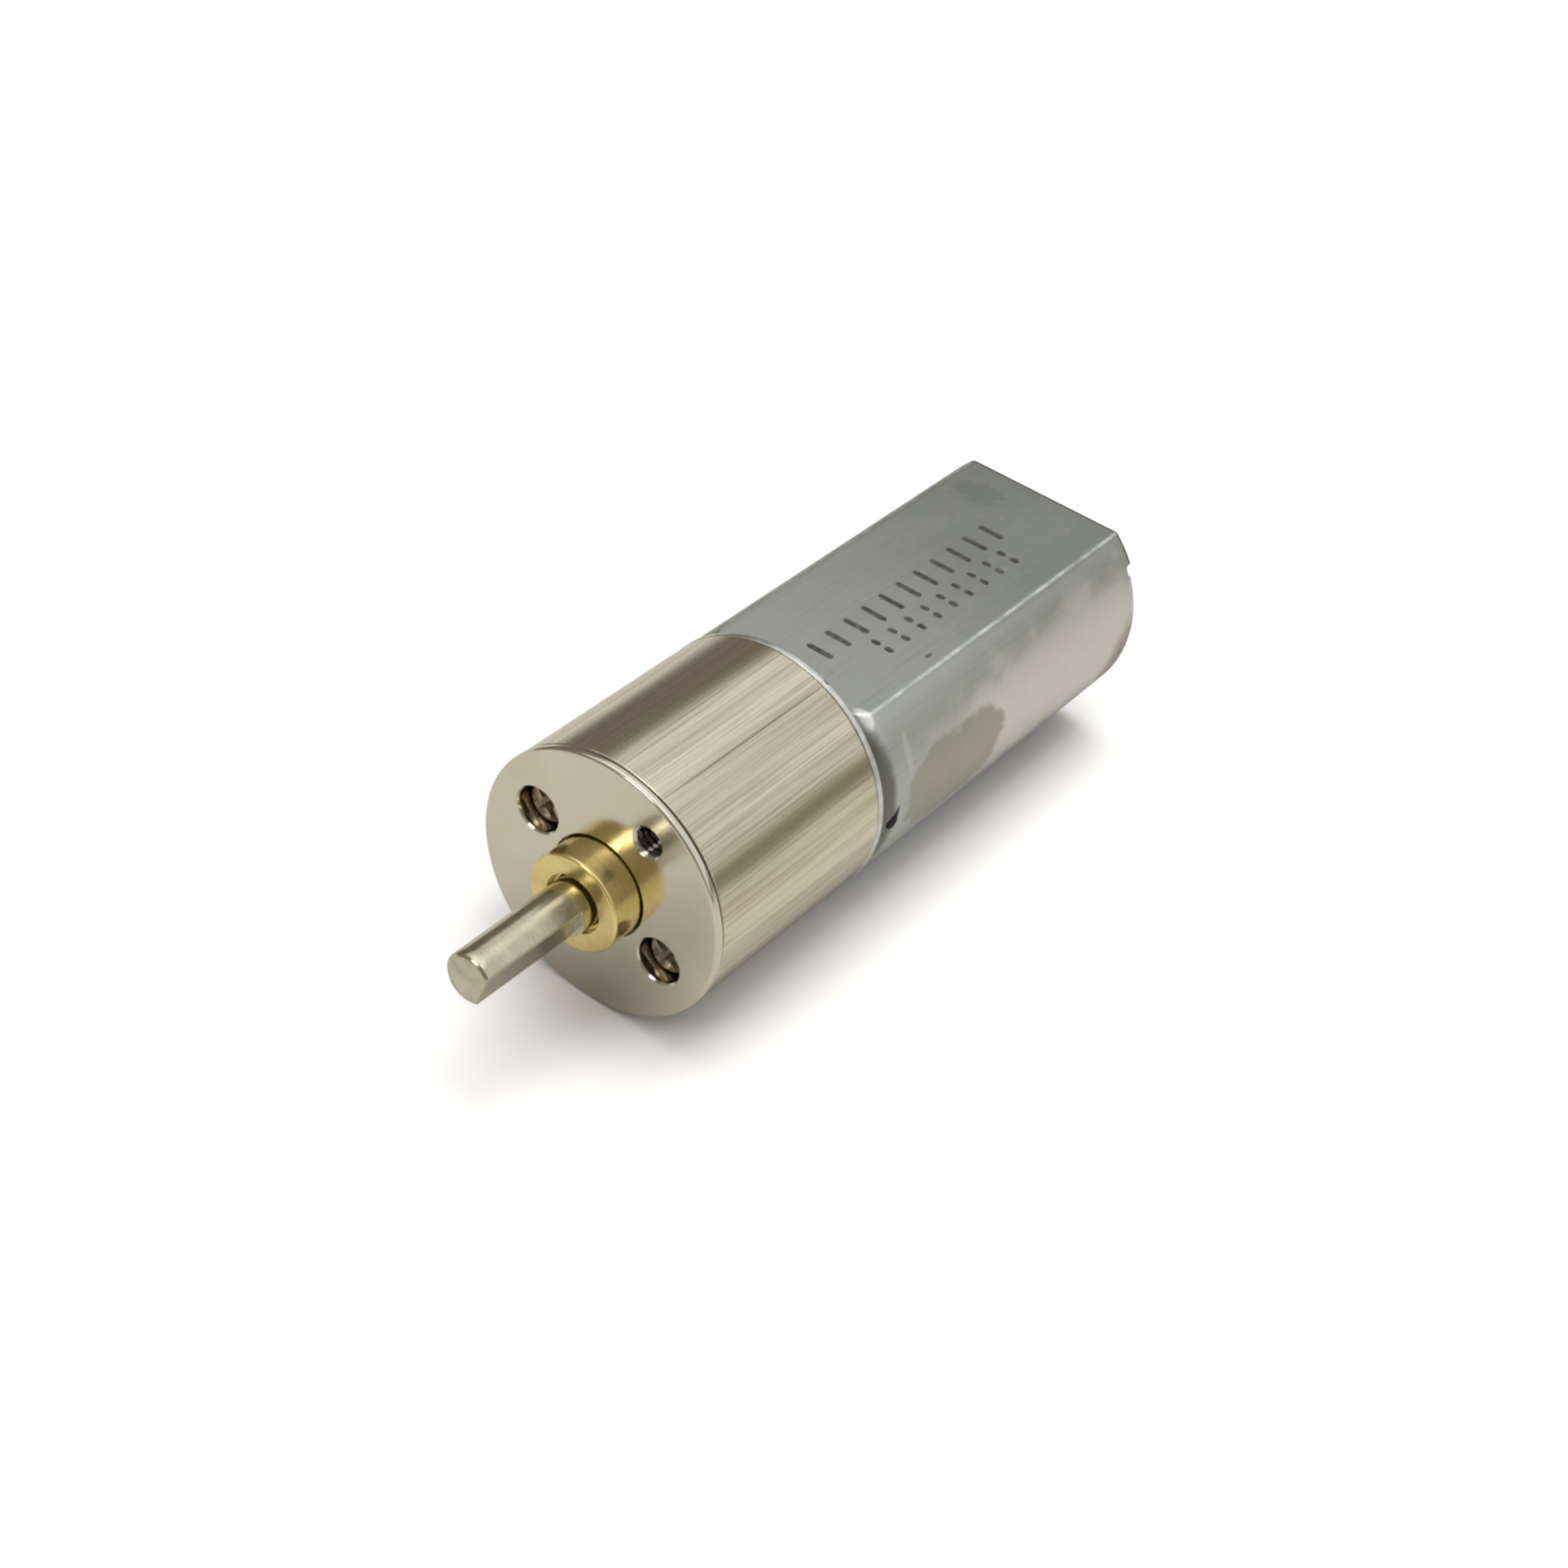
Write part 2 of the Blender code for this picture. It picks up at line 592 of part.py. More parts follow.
def terminal(side, sign, parent):
    """A solder tab with a wire hole, pushed through the end cap."""
    width, back = 2.0, TERMINAL_END_Y
    y0 = COMMUTATOR_Y[0] + 0.3
    facing = (Matrix.Translation((sign * 4.0 * MM, 0.0, -1.2 * MM))
              @ Matrix.Rotation(math.radians(90.0), 4, "Y"))
    half = width / 2
    outline = [(-half, y0), (half, y0), (half, back - 0.6), (half - 0.6, back),
               (0.6 - half, back), (-half, back - 0.6)]
    hole = arc(0.45, 0.0, 330.0, 11, (0.0, back - 1.2))
    return add_part(extruded("terminal_" + side, [outline, hole], 0.3, facing), "brass", parent)


def brush_arm(side, sign, parent):
    """A bent spring strip from the terminal to the back of its brush."""
    outer, inner, strip = 3.82, 2.55, 0.2
    foot, head = -2.1, 0.9
    outline = [(outer, foot), (outer, foot + strip), (inner + strip, foot + strip),
               (inner + strip, head), (inner, head), (inner, foot)]
    if sign < 0:
        outline = [(-x, z) for x, z in reversed(outline)]
    y0, y1 = COMMUTATOR_Y[0] + 0.35, COMMUTATOR_Y[1] - 0.15
    return add_part(across_axis("brush_arm_" + side, [outline], y0, y1), "copper", parent)


def carbon_brush(side, sign, parent):
    middle = (COMMUTATOR_Y[0] + COMMUTATOR_Y[1]) / 2 + 0.1
    brush = block("carbon_brush_" + side, (0.81, 1.2, 1.2), (sign * 2.115, middle, 0.0))
    return add_part(brush, "carbon", parent)


# ---- Motor: turning pieces ------------------------------------------------------------------
def rotor_shaft(parent):
    shaft = cylinder("rotor_shaft", ROTOR_SHAFT_RADIUS, LAYERS[2][1] + 0.15, END_CAP_Y[1] + 0.25)
    return add_part(shaft, "steel", parent)


def rotor_core(parent):
    """Three T-shaped poles round a hub, with a bore for the shaft."""
    hub, neck, shoe, half_span = 1.7, 0.8, 3.9, 50.0
    neck_foot = math.degrees(math.asin(neck / hub))
    neck_head = math.degrees(math.asin(neck / shoe))
    outline = []
    for pole in range(POLE_COUNT):
        middle = 90.0 + 360.0 * pole / POLE_COUNT
        outline.append(polar(hub, middle - neck_foot))
        outline += arc(shoe, middle - neck_head, middle - half_span, 4)
        outline += arc(ROTOR_RADIUS, middle - half_span, middle + half_span, 10)
        outline += arc(shoe, middle + half_span, middle + neck_head, 4)
        outline.append(polar(hub, middle + neck_foot))
    bore = arc(ROTOR_SHAFT_RADIUS + 0.03, 0.0, 330.0, 11)
    return add_part(across_axis("rotor_core", [outline, bore], *CORE_Y), "iron", parent)


def rounded_rectangle(half_width, half_length, radius):
    corners = ((1, 1, 0.0), (-1, 1, 90.0), (-1, -1, 180.0), (1, -1, 270.0))
    points = []
    for sx, sy, start in corners:
        centre = (sx * (half_width - radius), sy * (half_length - radius))
        points += arc(radius, start, start + 90.0, 3, centre)
    return points


def winding(index, parent):
    """A coil round the neck of one pole."""
    inner_face, outer_face, half_width, end_turn = 1.9, 3.4, 1.7, 0.9
    half_core = (CORE_Y[1] - CORE_Y[0]) / 2
    turn = 90.0 + 360.0 * index / POLE_COUNT
    middle = Matrix.Translation((0.0, (CORE_Y[0] + CORE_Y[1]) / 2 * MM, 0.0))
    outward = Matrix.Translation(((inner_face + outer_face) / 2 * MM, 0.0, 0.0))
    facing = (middle @ Matrix.Rotation(math.radians(-turn), 4, "Y") @ outward
              @ Matrix.Rotation(math.radians(90.0), 4, "Y"))
    outlines = [rounded_rectangle(half_width, half_core + end_turn, 0.7),
                rounded_rectangle(0.85, half_core + FIT_GAP, 0.02)]
    coil = extruded(f"winding_{index + 1}", outlines, outer_face - inner_face, facing)
    return add_part(coil, "copper", parent)


def commutator_hub(parent):
    front, back = COMMUTATOR_Y
    hub = turned("commutator_hub", [
        (1.3, back), (1.3, front - 0.1), (2.0, front - 0.1), (2.0, front - 0.8),
        (ROTOR_SHAFT_RADIUS + 0.03, front - 0.8), (ROTOR_SHAFT_RADIUS + 0.03, back),
    ], SMALL)
    return add_part(hub, "plastic", parent)


def commutator_segment(index, parent):
    front, back = COMMUTATOR_Y
    middle = 30.0 + 360.0 * index / POLE_COUNT
    outline = arc(1.66, middle - 54.0, middle + 54.0, 8)
    outline += arc(1.36, middle + 54.0, middle - 54.0, 8)
    segment = across_axis(f"commutator_segment_{index + 1}", [outline], front, back)
    return add_part(segment, "copper", parent)


def rotor_washer(side, y0, parent):
    washer = ring("rotor_washer_" + side, ROTOR_SHAFT_RADIUS + 0.04, 1.2, y0, y0 + 0.2, TINY)
    return add_part(washer, "plastic", parent)


# ---- The whole gearmotor --------------------------------------------------------------------
def build_gearbox(housing, axes):
    front_plate(housing)
    output_bush(housing)
    gear_tube(housing)
    rear_plate(housing)
    for side in SCREW_ANGLES:
        pillar(side, housing)
        case_screw(side, housing)
    for side, x in (("left", -MOTOR_SCREW_X), ("right", MOTOR_SCREW_X)):
        motor_screw(side, x, housing)
    gear_pin("a", PIN_A_ANGLE, housing)
    gear_pin("b", PIN_B_ANGLE, housing)
    first, last = PLATE_BACK_Y + FIT_GAP, SPIGOT_FRONT_Y - FIT_GAP
    pin_spacer("pin_a_spacer_front", PIN_A_ANGLE, first, LAYERS[2][0] - 0.15, housing)
    pin_spacer("pin_a_spacer_rear", PIN_A_ANGLE, LAYERS[3][1] + 0.05, last, housing)
    pin_spacer("pin_b_spacer", PIN_B_ANGLE, LAYERS[1][1] + 0.05, last, housing)

    output_phase = 0.0
    phase_3 = mesh_phase(output_phase, GEAR_TEETH, PIN_B_ANGLE, PINION_TEETH)
    phase_2 = mesh_phase(phase_3, GEAR_TEETH, PIN_B_ANGLE - 180.0, PINION_TEETH)
    phase_1 = mesh_phase(phase_2, GEAR_TEETH, PIN_A_ANGLE, PINION_TEETH)
    motor_phase = mesh_phase(phase_1, GEAR_TEETH, PIN_A_ANGLE + 180.0, PINION_TEETH)
    output_shaft(axes["output"])
    output_washer(axes["output"])
    output_gear(output_phase, axes["output"])
    compound_gear("compound_gear_3", "steel", phase_3, 0, 1, PIN_BORE, axes["gear_3"])
    compound_gear("compound_gear_2", "steel", phase_2, 1, 2, TAIL_RADIUS + 0.04, axes["gear_2"])
    compound_gear("compound_gear_1", "brass", phase_1, 2, 3, PIN_BORE, axes["gear_1"])
    motor_pinion(motor_phase, axes["rotor"])


def build_motor(housing, rotor):
    motor_can(housing)
    front_bearing(housing)
    end_cap(housing)
    rear_bearing(housing)
    for side, sign, middle in (("left", -1, 180.0), ("right", 1, 0.0)):
        magnet(side, middle, housing)
        terminal(side, sign, housing)
        brush_arm(side, sign, housing)
        carbon_brush(side, sign, housing)
    rotor_shaft(rotor)
    rotor_core(rotor)
    commutator_hub(rotor)
    for index in range(POLE_COUNT):
        winding(index, rotor)
        commutator_segment(index, rotor)
    rotor_washer("front", CAN_FRONT_Y + 0.95, rotor)
    rotor_washer("rear", END_CAP_Y[0] + 0.15, rotor)


def build():
    housing = make_empty("gearmotor_origin", 0.0, 0.0, None)
    pin_a = polar(PIN_CIRCLE, PIN_A_ANGLE)
    pin_b = polar(PIN_CIRCLE, PIN_B_ANGLE)
    axes = {
        "output": make_empty("output_axis", 0.0, 0.0, housing),
        "gear_3": make_empty("gear_3_axis", *pin_b, housing),
        "gear_2": make_empty("gear_2_axis", 0.0, 0.0, housing),
        "gear_1": make_empty("gear_1_axis", *pin_a, housing),
        "rotor": make_empty("rotor_axis", 0.0, 0.0, housing),
    }
    build_gearbox(housing, axes)
    build_motor(housing, axes["rotor"])
    bake_modifiers()


build()
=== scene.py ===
"""Looks of the small gearmotor: fine meshes, procedural materials, floor, light and camera.

Y runs along the drive, from the free end of the output shaft to the terminals. Angles round it
are counted from +X towards +Z. Sizes are in millimetres, and become metres as a mesh is made.
"""
import json
import math

import bmesh
import bpy
from mathutils import Matrix, Vector


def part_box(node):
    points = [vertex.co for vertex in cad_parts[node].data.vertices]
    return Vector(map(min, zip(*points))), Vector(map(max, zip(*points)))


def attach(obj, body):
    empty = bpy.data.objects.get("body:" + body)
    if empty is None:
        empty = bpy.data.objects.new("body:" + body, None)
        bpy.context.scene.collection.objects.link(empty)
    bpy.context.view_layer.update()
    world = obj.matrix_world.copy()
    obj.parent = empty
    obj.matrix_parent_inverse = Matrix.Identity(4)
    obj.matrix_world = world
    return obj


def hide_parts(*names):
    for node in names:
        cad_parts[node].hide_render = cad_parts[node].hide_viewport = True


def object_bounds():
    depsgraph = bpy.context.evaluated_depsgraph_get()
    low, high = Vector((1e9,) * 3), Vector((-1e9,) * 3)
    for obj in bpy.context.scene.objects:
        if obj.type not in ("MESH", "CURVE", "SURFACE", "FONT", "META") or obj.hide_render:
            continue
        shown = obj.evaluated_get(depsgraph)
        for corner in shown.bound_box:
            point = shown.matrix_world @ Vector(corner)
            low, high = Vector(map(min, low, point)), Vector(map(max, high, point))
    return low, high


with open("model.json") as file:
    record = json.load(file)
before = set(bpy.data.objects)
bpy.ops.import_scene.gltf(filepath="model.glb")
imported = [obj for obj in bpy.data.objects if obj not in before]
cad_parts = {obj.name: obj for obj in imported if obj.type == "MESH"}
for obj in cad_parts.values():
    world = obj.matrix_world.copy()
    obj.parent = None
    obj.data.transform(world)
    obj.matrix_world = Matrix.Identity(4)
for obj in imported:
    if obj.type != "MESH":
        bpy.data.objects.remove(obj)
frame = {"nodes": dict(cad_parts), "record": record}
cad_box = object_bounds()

MM = 0.001
SHARP_ANGLE = math.radians(35.0)
SMALLEST = 0.002
PAST = 0.5
SIDES = ("left", "right")


def configured(thing, **settings):
    """Set some attributes of a thing, and give it back."""
    for setting, value in settings.items():
        setattr(thing, setting, value)
    return thing


def linked(name, data):
    """A new object in the scene."""
    obj = bpy.data.objects.new(name, data)
    bpy.context.scene.collection.objects.link(obj)
    return obj


def span(node):
    """Lowest and highest corner of a CAD node, in millimetres."""
    low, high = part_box(node)
    return low / MM, high / MM


def mid_point(node):
    """X and Z of a CAD node's middle."""
    low, high = span(node)
    return (low.x + high.x) / 2, (low.z + high.z) / 2


def outer_radius(node):
    low, high = span(node)
    return (high.x - low.x) / 2


# ---- Stations and sizes, from the frame ----
plate_low, plate_high = span("front_plate")
tube_low, tube_high = span("gear_tube")
ring_low, ring_high = span("rear_plate")
bush_low, bush_high = span("output_bush")
shaft_high = span("output_shaft")[1]
can_low, can_high = span("motor_can")
cap_low, cap_high = span("end_cap")

FACE_Y, PLATE_BACK = plate_low.y, plate_high.y
RIM_BACK = tube_low.y - 0.13
RING_FRONT, RING_BACK = tube_high.y + 0.05, ring_high.y
CAN_FRONT, CAN_REAR = RING_BACK + 0.05, can_high.y
GEARBOX_R, TUBE_R, RING_R = plate_high.x, tube_high.x, ring_high.x
CAN_R, CAN_FLAT = can_high.x, can_high.z
SHAFT_R = shaft_high.x

# ---- Details that the frame's boxes don't give ----
BOSS_R = 2.94
BUSH_BORE = 1.55
FLAT_HEIGHT = 1.0
FLAT_END = 7.2
FLAT_ANGLE = -16.2
SCREW_BORE_R = 1.365
SCREW_BORE_DEPTH = 2.2
SCREW_TURNS = {"left": 38.0, "right": 52.0}
TAPPED_CIRCLE = 5.5
TAPPED_ANGLES = (59.5, 239.5)
THREAD_ROOT_R = 0.98
THREAD_CREST_R = 0.8
THREAD_PITCH = 0.4
SPIGOT_R = 7.5
CAN_WALL = 0.6
CAN_SHOULDER = 1.4
CREASE_SHARPNESS = 170.0
PIN_R = 0.42
MOTOR_THREAD_R = 0.78
ROTOR_BORE = 0.53
POLE_ANGLES = (90.0, 210.0, 330.0)
WIRE_R = 0.07
MODULE = 0.2
PRESSURE_ANGLE = math.radians(20.0)
BACKLASH = 0.05
WHEEL_TEETH, PINION_TEETH = 30, 10
TOOTH_SHIFTS = {WHEEL_TEETH: -0.4, PINION_TEETH: 0.4}

# Gears by name, with bore and width of the wheel; what is in front of a wheel is a pinion.
GEARS = {"output_gear": (1.53, 2.2), "compound_gear_3": (PIN_R, 1.6),
         "compound_gear_2": (0.64, 1.4), "compound_gear_1": (PIN_R, 1.2),
         "motor_pinion": (ROTOR_BORE, 0.0)}
# Rings on a pin or shaft, by their bore.
SLEEVES = {
    PIN_R: ("pin_a_spacer_front", "pin_a_spacer_rear", "pin_b_spacer"),
    0.54: ("front_bearing", "rear_bearing", "rotor_washer_front", "rotor_washer_rear"),
    BUSH_BORE: ("output_washer",),
}
SLOTS = {row["node"]: row["material_slot"] for row in frame["record"]["subparts"]}
BODIES = {node: body for body, nodes in frame["record"]["behaviour"]["bodies"].items()
          for node in nodes}


def polar(radius, degrees):
    angle = math.radians(degrees)
    return radius * math.cos(angle), radius * math.sin(angle)


def arc(radius, start, end, steps, centre=(0.0, 0.0)):
    """Points of an arc, from one angle to another in degrees."""
    points = []
    for step in range(steps + 1):
        u, v = polar(radius, start + (end - start) * step / steps)
        points.append((centre[0] + u, centre[1] + v))
    return points


def rotated(outline, degrees):
    """An outline turned about the origin, from +X towards +Z."""
    cosine, sine = polar(1.0, degrees)
    return [(u * cosine - v * sine, u * sine + v * cosine) for u, v in outline]


def fillet_corner(before, corner, after, radius, steps):
    """An arc that rounds one corner of a polyline."""
    corner = Vector(corner)
    to_before = (Vector(before) - corner).normalized()
    to_after = (Vector(after) - corner).normalized()
    half_angle = to_before.angle(to_after) / 2
    centre = corner + (to_before + to_after).normalized() * radius / math.sin(half_angle)
    reach = radius / math.tan(half_angle)
    first = corner + to_before * reach - centre
    last = corner + to_after * reach - centre
    return [tuple(centre + first.lerp(last, step / steps).normalized() * radius)
            for step in range(steps + 1)]


def rounded(corners, steps=5):
    """A closed polyline of (u, v, fillet radius) corners as plain (u, v) points."""
    points = []
    for index, (u, v, radius) in enumerate(corners):
        if radius:
            before = corners[index - 1][:2]
            after = corners[(index + 1) % len(corners)][:2]
            points += fillet_corner(before, (u, v), after, radius, steps)
        else:
            points.append((u, v))
    return points


# ---- Mesh helpers ----
def object_from(shape, name):
    """A linked object with the mesh that was built, which is freed."""
    mesh = bpy.data.meshes.new(name)
    shape.to_mesh(mesh)
    shape.free()
    return linked(name, mesh)


def closed_mesh(name, vertices, faces):
    """An object from vertices in millimetres, with its faces turned outwards."""
    shape = bmesh.new()
    made = [shape.verts.new([c * MM for c in vertex]) for vertex in vertices]
    for face in faces:
        shape.faces.new([made[index] for index in face])
    bmesh.ops.recalc_face_normals(shape, faces=shape.faces)
    if shape.calc_volume(signed=True) < 0.0:
        bmesh.ops.reverse_faces(shape, faces=shape.faces)
    return object_from(shape, name)


def skin_over(rings, looped=False, first=0):
    """Vertices and faces that join rings of equal length: a loop, or a bar with flat ends."""
    count = len(rings[0])
    vertices = [point for ring in rings for point in ring]
    faces = []
    for row in range(len(rings) if looped else len(rings) - 1):
        here = first + row * count
        there = first + (row + 1) % len(rings) * count
        for column in range(count):
            after = (column + 1) % count
            faces.append((here + column, here + after, there + after, there + column))
    if not looped:
        last = first + len(vertices) - count
        faces += [range(first, first + count), range(last, last + count)]
    return vertices, faces


def skin(name, rings, looped=False):
    return closed_mesh(name, *skin_over(rings, looped))


def nearer(first, second, sharpness):
    """The smaller of two distances, with a smooth change where they meet."""
    return (first ** -sharpness + second ** -sharpness) ** (-1.0 / sharpness)


def ring_of(reach, y, angles, centre=(0.0, 0.0)):
    """A ring round Y whose points are as far out as a function of their angle says."""
    points = [polar(reach(angle), angle) for angle in angles]
    return [(centre[0] + x, y, centre[1] + z) for x, z in points]


def turned(name, corners, segments=192, centre=(0.0, 0.0), looped=True, steps=5):
    """Turn a (radius, y, fillet) outline about the Y axis; without looped, its ends are discs."""
    profile = rounded(corners, steps)
    turns = [2 * math.pi * step / segments for step in range(segments)]
    rings = [[(centre[0] + r * math.cos(t), y, centre[1] + r * math.sin(t)) for t in turns]
             for r, y in profile]
    return skin(name, rings, looped)


def drill(name, radius, y0, y1, segments, centre=(0.0, 0.0)):
    """A straight round cutter along Y."""
    return turned(name, [(radius, y0, 0.0), (radius, y1, 0.0)], segments, centre, looped=False)


def bar(name, sections):
    """A bar along Y through outlines in the XZ plane, each given with its Y."""
    return skin(name, [[(x, y, z) for x, z in outline] for y, outline in sections])


def prism(name, outline, y0, y1):
    return bar(name, ((y0, outline), (y1, outline)))


def slab(name, outline, x0, x1):
    """An outline in the YZ plane extended along X."""
    return skin(name, [[(x, y, z) for y, z in outline] for x in (x0, x1)])


def box_cutter(name, size, centre, turn=0.0):
    """A box turned about the Y axis by an angle from +X towards +Z."""
    low, high = ([c + sign * s / 2 for c, s in zip(centre, size)] for sign in (-1, 1))
    outline = [(low[0], low[2]), (high[0], low[2]), (high[0], high[2]), (low[0], high[2])]
    return prism(name, rotated(outline, turn), low[1], high[1])


def boolean(obj, others, operation="DIFFERENCE"):
    """Cut other objects from one, or join them to it, and remove them."""
    for other in others:
        configured(obj.modifiers.new("boolean", "BOOLEAN"), operation=operation, solver="EXACT",
                   object=other)
    bake(obj)
    for other in others:
        bpy.data.objects.remove(other, do_unlink=True)


def rework(obj, change):
    """Let a function change an object's mesh."""
    shape = bmesh.new()
    shape.from_mesh(obj.data)
    change(shape)
    shape.to_mesh(obj.data)
    shape.free()


def close_slits(shape):
    """Merge points that a cut left all but on top of each other, and close the slits they made."""
    bmesh.ops.remove_doubles(shape, verts=shape.verts, dist=SMALLEST * MM)
    bmesh.ops.dissolve_degenerate(shape, edges=shape.edges, dist=SMALLEST * MM)
    bmesh.ops.holes_fill(shape, edges=shape.edges, sides=4)


def split_wide_faces(shape):
    """Cut faces of many corners into triangles, so that no two of them share a diagonal."""
    wide = [face for face in shape.faces if len(face.verts) > 4]
    bmesh.ops.triangulate(shape, faces=wide)


def bake(obj):
    """Replace an object's mesh by the one its modifiers make, without its flaws."""
    bpy.context.view_layer.update()
    depsgraph = bpy.context.evaluated_depsgraph_get()
    mesh = bpy.data.meshes.new_from_object(obj.evaluated_get(depsgraph))
    obj.modifiers.clear()
    obj.data = mesh
    rework(obj, close_slits)


def soften(obj, width, segments=2, limit=30.0):
    """Round every edge that is sharper than a limit."""
    configured(obj.modifiers.new("soften", "BEVEL"), width=width * MM, segments=segments,
               limit_method="ANGLE", angle_limit=math.radians(limit), harden_normals=False)
    bake(obj)


def shade(obj, material):
    """Smooth a finished piece between its sharp edges, and give it its material."""
    obj.data.shade_smooth()
    obj.data.set_sharp_from_angle(angle=SHARP_ANGLE)
    obj.data.materials.clear()
    obj.data.materials.append(material)


def place(obj, node):
    """Finish the piece that stands for a CAD node: it takes the material of the node's slot and
    hangs from the node's body, and the node is hidden.
    """
    body, slot = BODIES[node], SLOTS[node]
    rework(obj, split_wide_faces)
    shade(obj, MATERIALS[slot])
    configured(obj.modifiers.new("flat_faces_first", "WEIGHTED_NORMAL"), keep_sharp=True)
    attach(obj, body)
    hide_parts(node)


# ---- Materials ----
class Graph:
    """A node tree, with short ways to add to it."""

    def __init__(self, tree):
        self.tree = tree

    def feed(self, socket, value):
        """Link a socket to another's output, or give it a plain value or a colour."""
        if isinstance(value, bpy.types.NodeSocket):
            self.tree.links.new(value, socket)
        elif socket.type == "RGBA":
            socket.default_value = (*value, 1.0)
        else:
            socket.default_value = value

    def node(self, kind, inputs=None, **settings):
        made = configured(self.tree.nodes.new(kind), **settings)
        for socket, value in (inputs or {}).items():
            self.feed(made.inputs[socket], value)
        return made

    def remap(self, value, low, high, to_low=0.0, to_high=1.0, smooth=False):
        return self.node("ShaderNodeMapRange", {
            "Value": value, "From Min": low, "From Max": high, "To Min": to_low, "To Max": to_high,
        }, interpolation_type="SMOOTHSTEP" if smooth else "LINEAR").outputs["Result"]

    def maths(self, operation, *values):
        inputs = dict(enumerate(values))
        return self.node("ShaderNodeMath", inputs, operation=operation).outputs["Value"]

    def mix(self, factor, first, second):
        inputs = {0: factor, 6: first, 7: second}
        return self.node("ShaderNodeMix", inputs, data_type="RGBA").outputs[2]


class Finish(Graph):
    """A Principled material whose colour, roughness and bump come from layers of noise.

    Every layer reads the piece's own coordinates in millimetres, so its grain has a real size
    and turns with the piece.
    """

    def __init__(self, name, **constants):
        self.material = bpy.data.materials.new(name)
        self.material.use_nodes = True
        super().__init__(self.material.node_tree)
        self.shader = self.tree.nodes["Principled BSDF"]
        self.shader.inputs["Metallic"].default_value = 1.0
        for socket, value in constants.items():
            self.shader.inputs[socket.replace("_", " ")].default_value = value
        self.coordinates = self.node("ShaderNodeTexCoord").outputs["Object"]
        self.colour = None

    def noise(self, per_mm, detail=4.0, roughness=0.55, distortion=0.0):
        """Noise with so many features a millimetre, the same every way or along X, Y and Z."""
        if isinstance(per_mm, float):
            per_mm = (per_mm, per_mm, per_mm)
        scale = [count / MM for count in per_mm]
        mapping = self.node("ShaderNodeMapping", {"Scale": scale, "Vector": self.coordinates})
        return self.node("ShaderNodeTexNoise", {
            "Vector": mapping.outputs["Vector"], "Scale": 1.0, "Detail": detail,
            "Roughness": roughness, "Distortion": distortion}).outputs["Fac"]

    def band(self, axis, low_mm, high_mm):
        """0 before one station along an axis and 1 after another."""
        parts = self.node("ShaderNodeSeparateXYZ", {0: self.coordinates})
        return self.remap(parts.outputs[axis], low_mm * MM, high_mm * MM, smooth=True)

    def spot(self, place_mm, radii_mm, wobble, softness):
        """A soft round mask about a point, 1 inside, with radii along X, Y and Z."""
        vector = self.coordinates
        for operation, values in (("SUBTRACT", [c * MM for c in place_mm]),
                                  ("MULTIPLY", [1.0 / (r * MM) for r in radii_mm])):
            vector = self.node("ShaderNodeVectorMath", {0: vector, 1: values},
                               operation=operation).outputs["Vector"]
        length = self.node("ShaderNodeVectorMath", {0: vector}, operation="LENGTH")
        distance = length.outputs["Value"]
        if wobble is not None:
            distance = self.maths("ADD", distance, wobble)
        return self.remap(distance, 1.0 - softness, 1.0 + softness, 1.0, 0.0, smooth=True)

    def base(self, value, low, high, first, second):
        """Start with a colour that runs from one to another as a value rises."""
        self.colour = self.mix(self.remap(value, low, high), first, second)

    def cover(self, value, low, high, most, colour):
        """Lay a colour over the last, more and more as a value goes from one end to another."""
        self.colour = self.mix(self.remap(value, low, high, *most), self.colour, colour)

    def marks(self, spots, strength=None, wobble=None, softness=0.3):
        """Lay marks of (place, radii, amount, colour) over what is there."""
        for place_mm, radii_mm, amount, colour in spots:
            mask = self.maths("MULTIPLY", self.spot(place_mm, radii_mm, wobble, softness), amount)
            if strength is not None:
                mask = self.maths("MULTIPLY", mask, strength)
            self.colour = self.mix(mask, self.colour, colour)

    def done(self, value, roughness, *reliefs):
        """The material, with the roughness at a layer's low and high values and with its relief.

        Every layer of the relief is a height from 0 to 1 and the depth in mm that it stands for.
        """
        self.feed(self.shader.inputs["Base Color"], self.colour)
        self.feed(self.shader.inputs["Roughness"], self.remap(value, 0.3, 0.7, *roughness))
        normal = None
        for height, depth_mm in reliefs:
            inputs = {"Strength": 1.0, "Distance": depth_mm * MM, "Height": height}
            if normal is not None:
                inputs["Normal"] = normal
            normal = self.node("ShaderNodeBump", inputs).outputs["Normal"]
        if normal is not None:
            self.feed(self.shader.inputs["Normal"], normal)
        return self.material


def nickel_tube():
    """Nickel brushed along the axis, with broad streaks, fine scratches and specks."""
    finish = Finish("nickel_tube")
    broad = finish.noise((1.1, 0.012, 1.1), 5.0, 0.6)
    fine = finish.noise((9.0, 0.10, 9.0), 4.0, 0.6)
    hair = finish.noise((26.0, 0.35, 26.0), 2.0)
    specks = finish.noise((6.0, 2.2, 6.0), 3.0, 0.7)
    finish.base(broad, 0.35, 0.65, (0.585, 0.535, 0.415), (0.80, 0.755, 0.615))
    finish.cover(fine, 0.38, 0.54, (0.65, 0.0), (0.43, 0.38, 0.28))
    finish.cover(specks, 0.62, 0.78, (0.0, 0.35), (0.50, 0.46, 0.36))
    x, z = polar(TUBE_R, 67.9)
    finish.marks([((x, 17.8, z), (0.07, 7.2, 0.07), 0.75, (0.20, 0.17, 0.12))])
    return finish.done(fine, (0.27, 0.14), (broad, 0.010), (fine, 0.0022), (hair, 0.0006))


